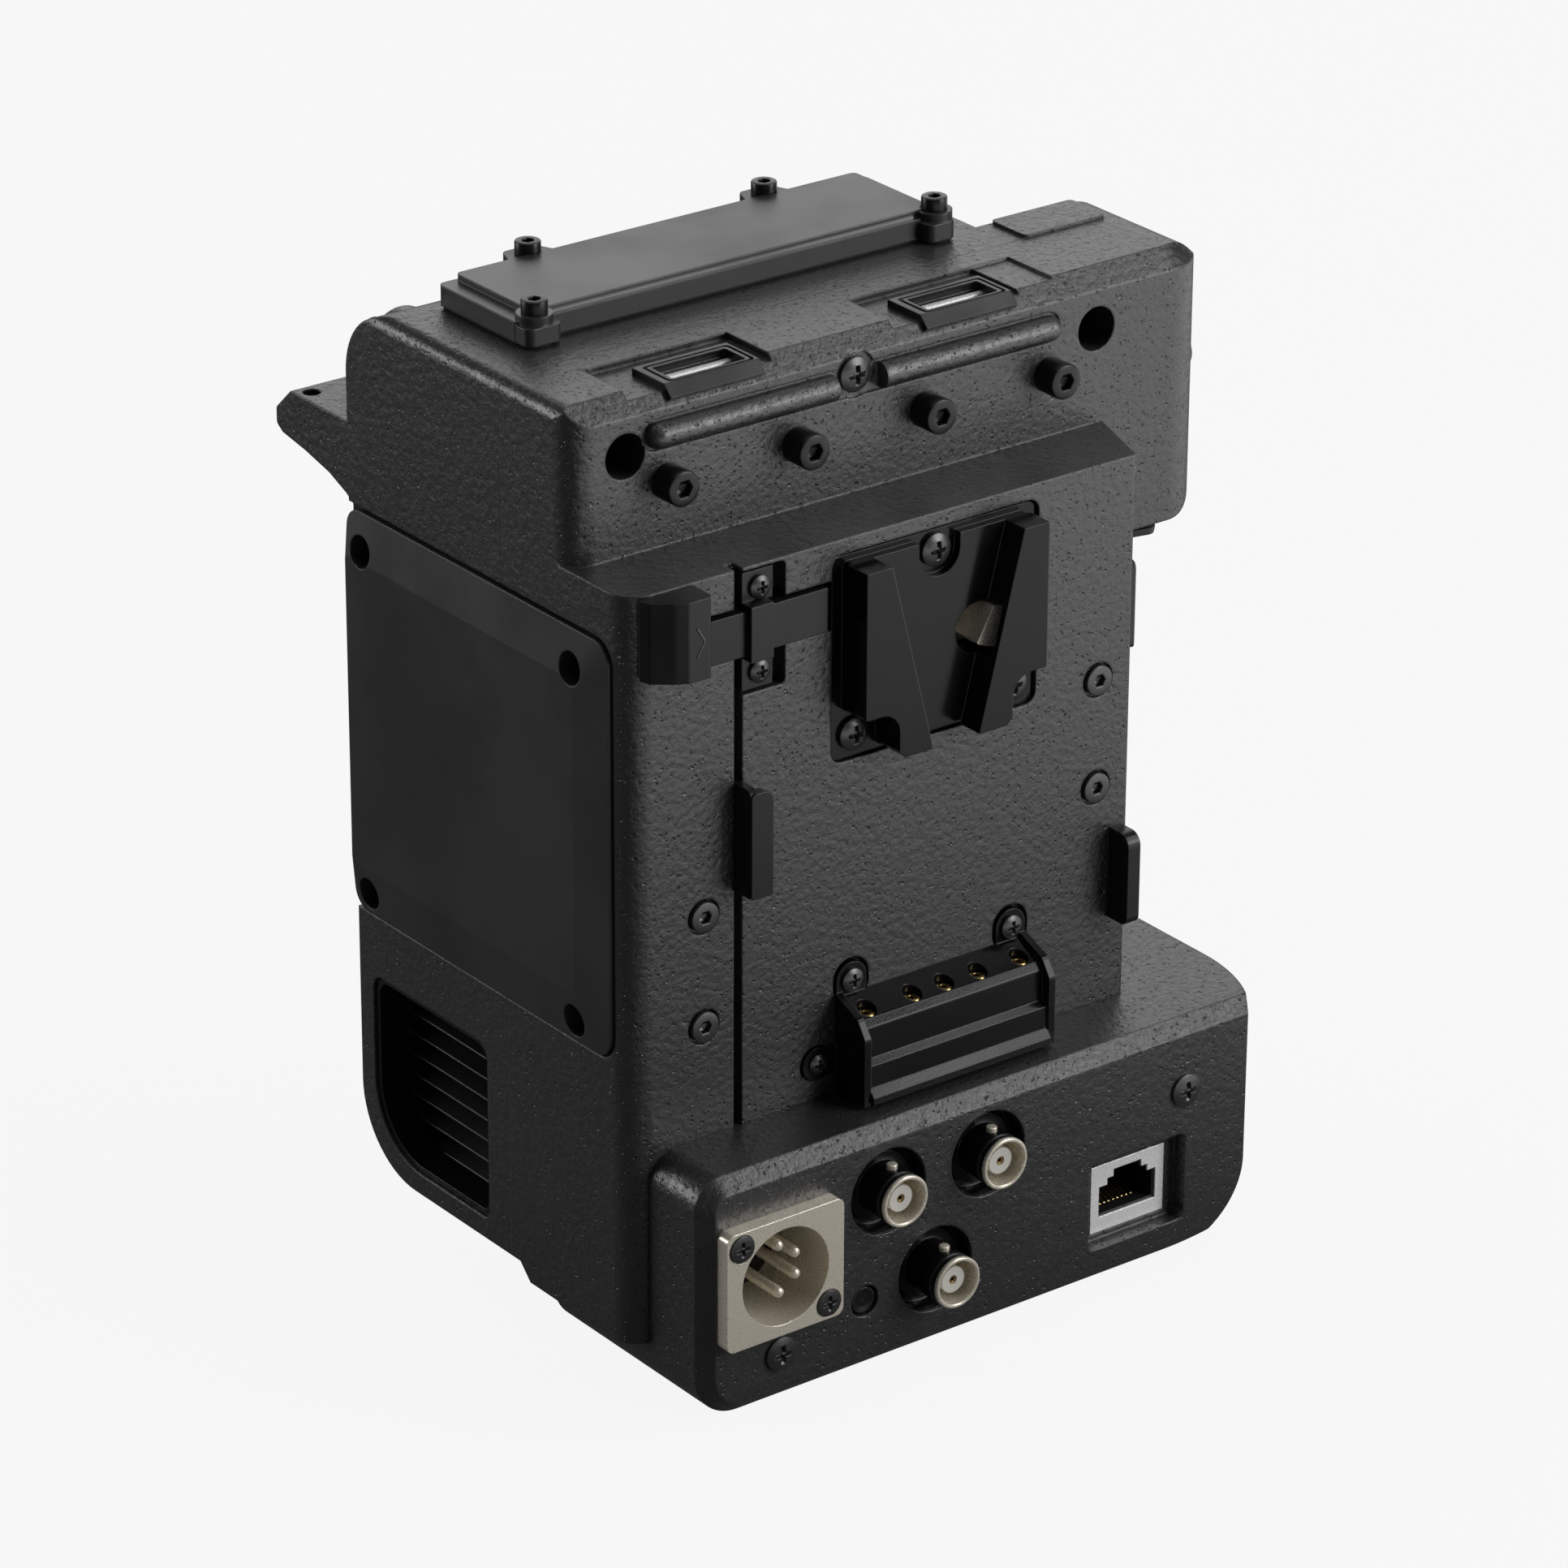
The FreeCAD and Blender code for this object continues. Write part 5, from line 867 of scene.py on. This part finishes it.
def cross_heads(name, facing, height, dome=DOME):
    """Every screw of one node as domed heads."""
    made = [cross_head(low, high, facing, height, dome) for low, high in solids_of(name)]
    piece("heads_" + name, made, "black_steel", [name])


cross_heads("base_screws", "rear", 1.1)
cross_heads("lock_receiver_screws", "rear", 1.6)
cross_heads("slider_keeper_screws", "rear", 1.2)
cross_heads("inlet_screws", "rear", 0.9, 0.3)
cross_heads("terminal_screws", "rear", 1.1)
cross_heads("side_cover_screws", "left", 1.0)

# %% [markdown]
# ## The shell's own screws
# Three more cross-head screws hold the shells. Two look to the rear, and the one in the side of
# the wing looks to the right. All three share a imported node, so each is told apart by its place
# and turned its own way before they are joined to one piece.

# %% The shell's three screws look two ways
WING_SIDE = 70.0

shell_heads = []
for low, high in solids_of("shell_screws"):
    side = "right" if high[0] > WING_SIDE else "rear"
    shell_heads.append(cross_head(low, high, side, 1.5))
piece("heads_shell_screws", shell_heads, "black_steel", ["shell_screws"])

# %% [markdown]
# ## Socket screws and standoffs
# The lid's cap screws, the sunk screws and the four standoffs take a hexagon key. Their sockets end
# in a shallow drilled cone, whose wall catches the light as a small crescent. The same ring stack
# makes them, with a hexagon for the recess.

# %% Heads with hexagon sockets
SOCKET_SHANK = 0.55


def socket_head(low, high, facing, height, across, depth, chamfer):
    """One screw or standoff: a shank, a straight head with a chamfer and a hexagon recess that
    ends in a cone."""
    place, radius, length = head_place(low, high, facing, height)
    shank = radius * SOCKET_SHANK
    key = hexagon(across)
    rows = [(-length - height, 0.0), (-length - height, shank), (-height, shank),
            (-height, radius), (-chamfer, radius), (-chamfer * 0.3, radius - chamfer * 0.35),
            (0, radius - chamfer), (0, key * 1.12), (-0.12, key), (-depth, key),
            (-depth - 0.1, key * 0.85), (-depth - across * 0.25, 0.0)]
    return sheet(stand(ring_stack(rows), place, facing))


for name, facing, height, across, depth, chamfer, slot in (
        ("slot_cover_screws", "up", 2.4, 2.0, 1.3, 0.25, "satin_black"),
        ("recessed_screws", "rear", 1.8, 2.1, 1.2, 0.2, "black_steel"),
        ("standoffs", "rear", 5.0, 2.8, 1.6, 0.35, "satin_black")):
    sockets = [socket_head(low, high, facing, height, across, depth, chamfer)
               for low, high in solids_of(name)]
    piece("sockets_" + name, sockets, slot, [name])

# %% [markdown]
# ## Strap bars
# In each frame of the top edge a bright bar takes a strap hook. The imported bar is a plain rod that
# marks its place. The real one is a flattened bar that stands higher in its slot, where it catches
# the light. A box with a Bevel modifier could stand in for it, but one formula gives the soft
# outline: a circle pushed out towards a square, drawn along the slot.

# %% A flattened bar along each slot
BAR_RISE = 1.5
BAR_END_GAP = 0.02


def root_of(wave):
    """The square root of a wave's size, with the wave's sign."""
    return np.sign(wave) * np.sqrt(np.abs(wave))


def strap_bar(low, high, rise):
    """A bar along x round a packed rod, taller than it by a rise; each section is a superellipse,
    whose half sizes are scaled by the square root of the cosine and the sine."""
    turn = np.linspace(0, 2 * np.pi, 40, endpoint=False)
    middle = (low + high) / 2
    middle[2] += rise / 2
    half = (high - low) / 2
    half[2] += rise / 2
    across = half[1] * root_of(np.cos(turn))
    upward = half[2] * root_of(np.sin(turn))
    grid = []
    for side, size in ((-1, 0.0), (-1, 1.0), (1, 1.0), (1, 0.0)):
        along = np.full(len(turn), middle[0] + side * (half[0] - BAR_END_GAP))
        section = [along, middle[1] + across * size, middle[2] + upward * size]
        grid.append(np.stack(section, axis=-1))
    return sheet(np.array(grid))


bars = [strap_bar(low, high, BAR_RISE) for low, high in solids_of("inset_bars")]
piece("strap_bars", bars, "bright_steel", ["inset_bars"])

# %% [markdown]
# ## Thumb mark
# The release button carries a small arrow that shows which way it slides. It is a generic sign, so
# it stays: two short bars that meet in a point, standing 0.15 mm proud of the button's face. A
# picture of an arrow would do as well from far, but raised bars catch the light as moulded ones do.

# %% An arrow of two bars on the release button
ARROW_TIP = 9.3
ARROW_REACH = 1.6
ARROW_LIFT = 2.6
ARROW_WIDE = 0.45
ARROW_PROUD = 0.15


def bar(start, end, wide, level, proud):
    """A short bar between two points of a rear face. Its section is an ellipse, as wide as the
    bar and standing proud of the level on one side and sunk on the other."""
    start = np.array(start, float)
    end = np.array(end, float)
    along = (end - start) / np.linalg.norm(end - start)
    across = np.array([-along[1], along[0]])
    turn = np.linspace(0, 2 * np.pi, 16, endpoint=False)
    grid = []
    for point, size in ((start, 0.0), (start, 1.0), (end, 1.0), (end, 0.0)):
        flat = point[None, :] + across[None, :] * (np.cos(turn) * wide / 2 * size)[:, None]
        depth = level - np.sin(turn) * proud * size
        grid.append(np.stack([flat[:, 0], depth, flat[:, 1]], axis=-1))
    return sheet(np.array(grid))


SLIDER_LOW = np.array(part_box("release_slider")[0]) / MM - SHIFT
SLIDER_HIGH = np.array(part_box("release_slider")[1]) / MM - SHIFT
button_middle = (SLIDER_HIGH[2] + SLIDER_LOW[2]) / 2
tip = (SLIDER_LOW[0] + ARROW_TIP, button_middle)
arrow = []
for lift in (ARROW_LIFT, -ARROW_LIFT):
    start = (tip[0] - ARROW_REACH, button_middle + lift)
    arrow.append(bar(start, tip, ARROW_WIDE, SLIDER_LOW[1], ARROW_PROUD))
piece("thumb_arrow", arrow, "black_steel", [], "slider")

# %% [markdown]
# ## Coaxial sockets
# Each socket is a black bushing in a round well, with a black barrel, a bright rim and two bright
# bayonet studs. The bushing lines the well, and its black also stands in for the shade deep in the
# well, so it is partly painted shade. Inside is a champagne sleeve with the white insulator and the
# centre contact. The imported solid is one metal shell, so two pieces replace it: a black one and a
# bright one. One piece with two finishes would need faces picked out by number. Both pieces are
# ring stacks, and their heights are counted from the base's rear face.

# %% Bushings, barrels, rims and studs
WELL = 8.1
WELL_FLOOR = -3.85
NUT = 6.6
BARREL = 4.82
GROOVE = 0.22
BORE = 4.05
SLEEVE = 4.2
STUD = 0.98
STUD_BACK = 4.2


def black_rings(lip):
    """The bushing's ring and the floor of its well, black partly as painted shade, then the nut and
    the barrel with its groove, as far as the lip where the bright rim begins."""
    # Partly painted shade: the black lining of the well.
    bushing_and_shade = [(-3.98, 0.0), (-3.98, WELL), (-0.35, WELL), (-0.25, WELL - 0.12), (-0.4, WELL - 0.2)]
    well = [(-3.7, WELL - 0.3), (WELL_FLOOR, WELL - 0.5), (WELL_FLOOR, NUT + 0.2)]
    nut = [(-3.7, NUT), (-2.75, NUT), (-2.6, NUT - 0.15), (-2.6, 5.2)]
    barrel = [(-2.45, BARREL), (lip - 1.3, BARREL), (lip - 1.15, BARREL - GROOVE),
              (lip - 0.75, BARREL - GROOVE), (lip - 0.6, BARREL), (lip, BARREL)]
    bore = [(lip, SLEEVE + 0.05), (-2.3, SLEEVE + 0.05), (-2.3, 0.0)]
    return ring_stack(bushing_and_shade + well + nut + barrel + bore)


def bright_rings(lip, reach):
    """The sleeve, the rim from the lip to the reach with its rounded edge, and the bore."""
    sleeve = [(-2.25, 0.0), (-2.25, SLEEVE), (lip + 0.02, SLEEVE)]
    rim = [(lip + 0.02, BARREL), (reach - 0.25, BARREL), (reach - 0.05, BARREL - 0.15),
           (reach, BARREL - 0.35), (reach - 0.02, BORE + 0.2)]
    bore = [(reach - 0.2, BORE), (-2.0, BORE), (-2.1, BORE - 0.15), (-2.1, 0.0)]
    return ring_stack(sleeve + rim + bore)


black_sheets = []
bright_sheets = []
for low, high in solids_of("coax_shells"):
    x, z = (low[0] + high[0]) / 2, (low[2] + high[2]) / 2
    reach = -low[1]
    lip = reach - 0.75
    black_sheets.append(sheet(stand(black_rings(lip), (x, 0, z), "rear")))
    bright_sheets.append(sheet(stand(bright_rings(lip, reach), (x, 0, z), "rear")))
    for facing, lift in (("up", 1), ("down", -1)):
        stud = ring_stack([(0, 0.0), (0, STUD), (1.0, STUD), (1.15, 0.85), (1.2, 0.6), (1.2, 0.0)])
        place = (x, -(reach - STUD_BACK), z + lift * (BARREL - 0.3))
        bright_sheets.append(sheet(stand(stud, place, facing)))
# The black piece lines each well, partly as painted shade.
piece("coax_black", black_sheets, "gloss_black", ["coax_shells"])
piece("coax_bright", bright_sheets, "nickel", ["coax_shells"])

# %% [markdown]
# ## Sizes
# The dressed object has to be as large as the imported one, so its box is measured and printed.

# %% Measure the dressed box
low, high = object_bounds()
print("dressed box", [round(v * 1000, 1) for v in (*low, *high)])
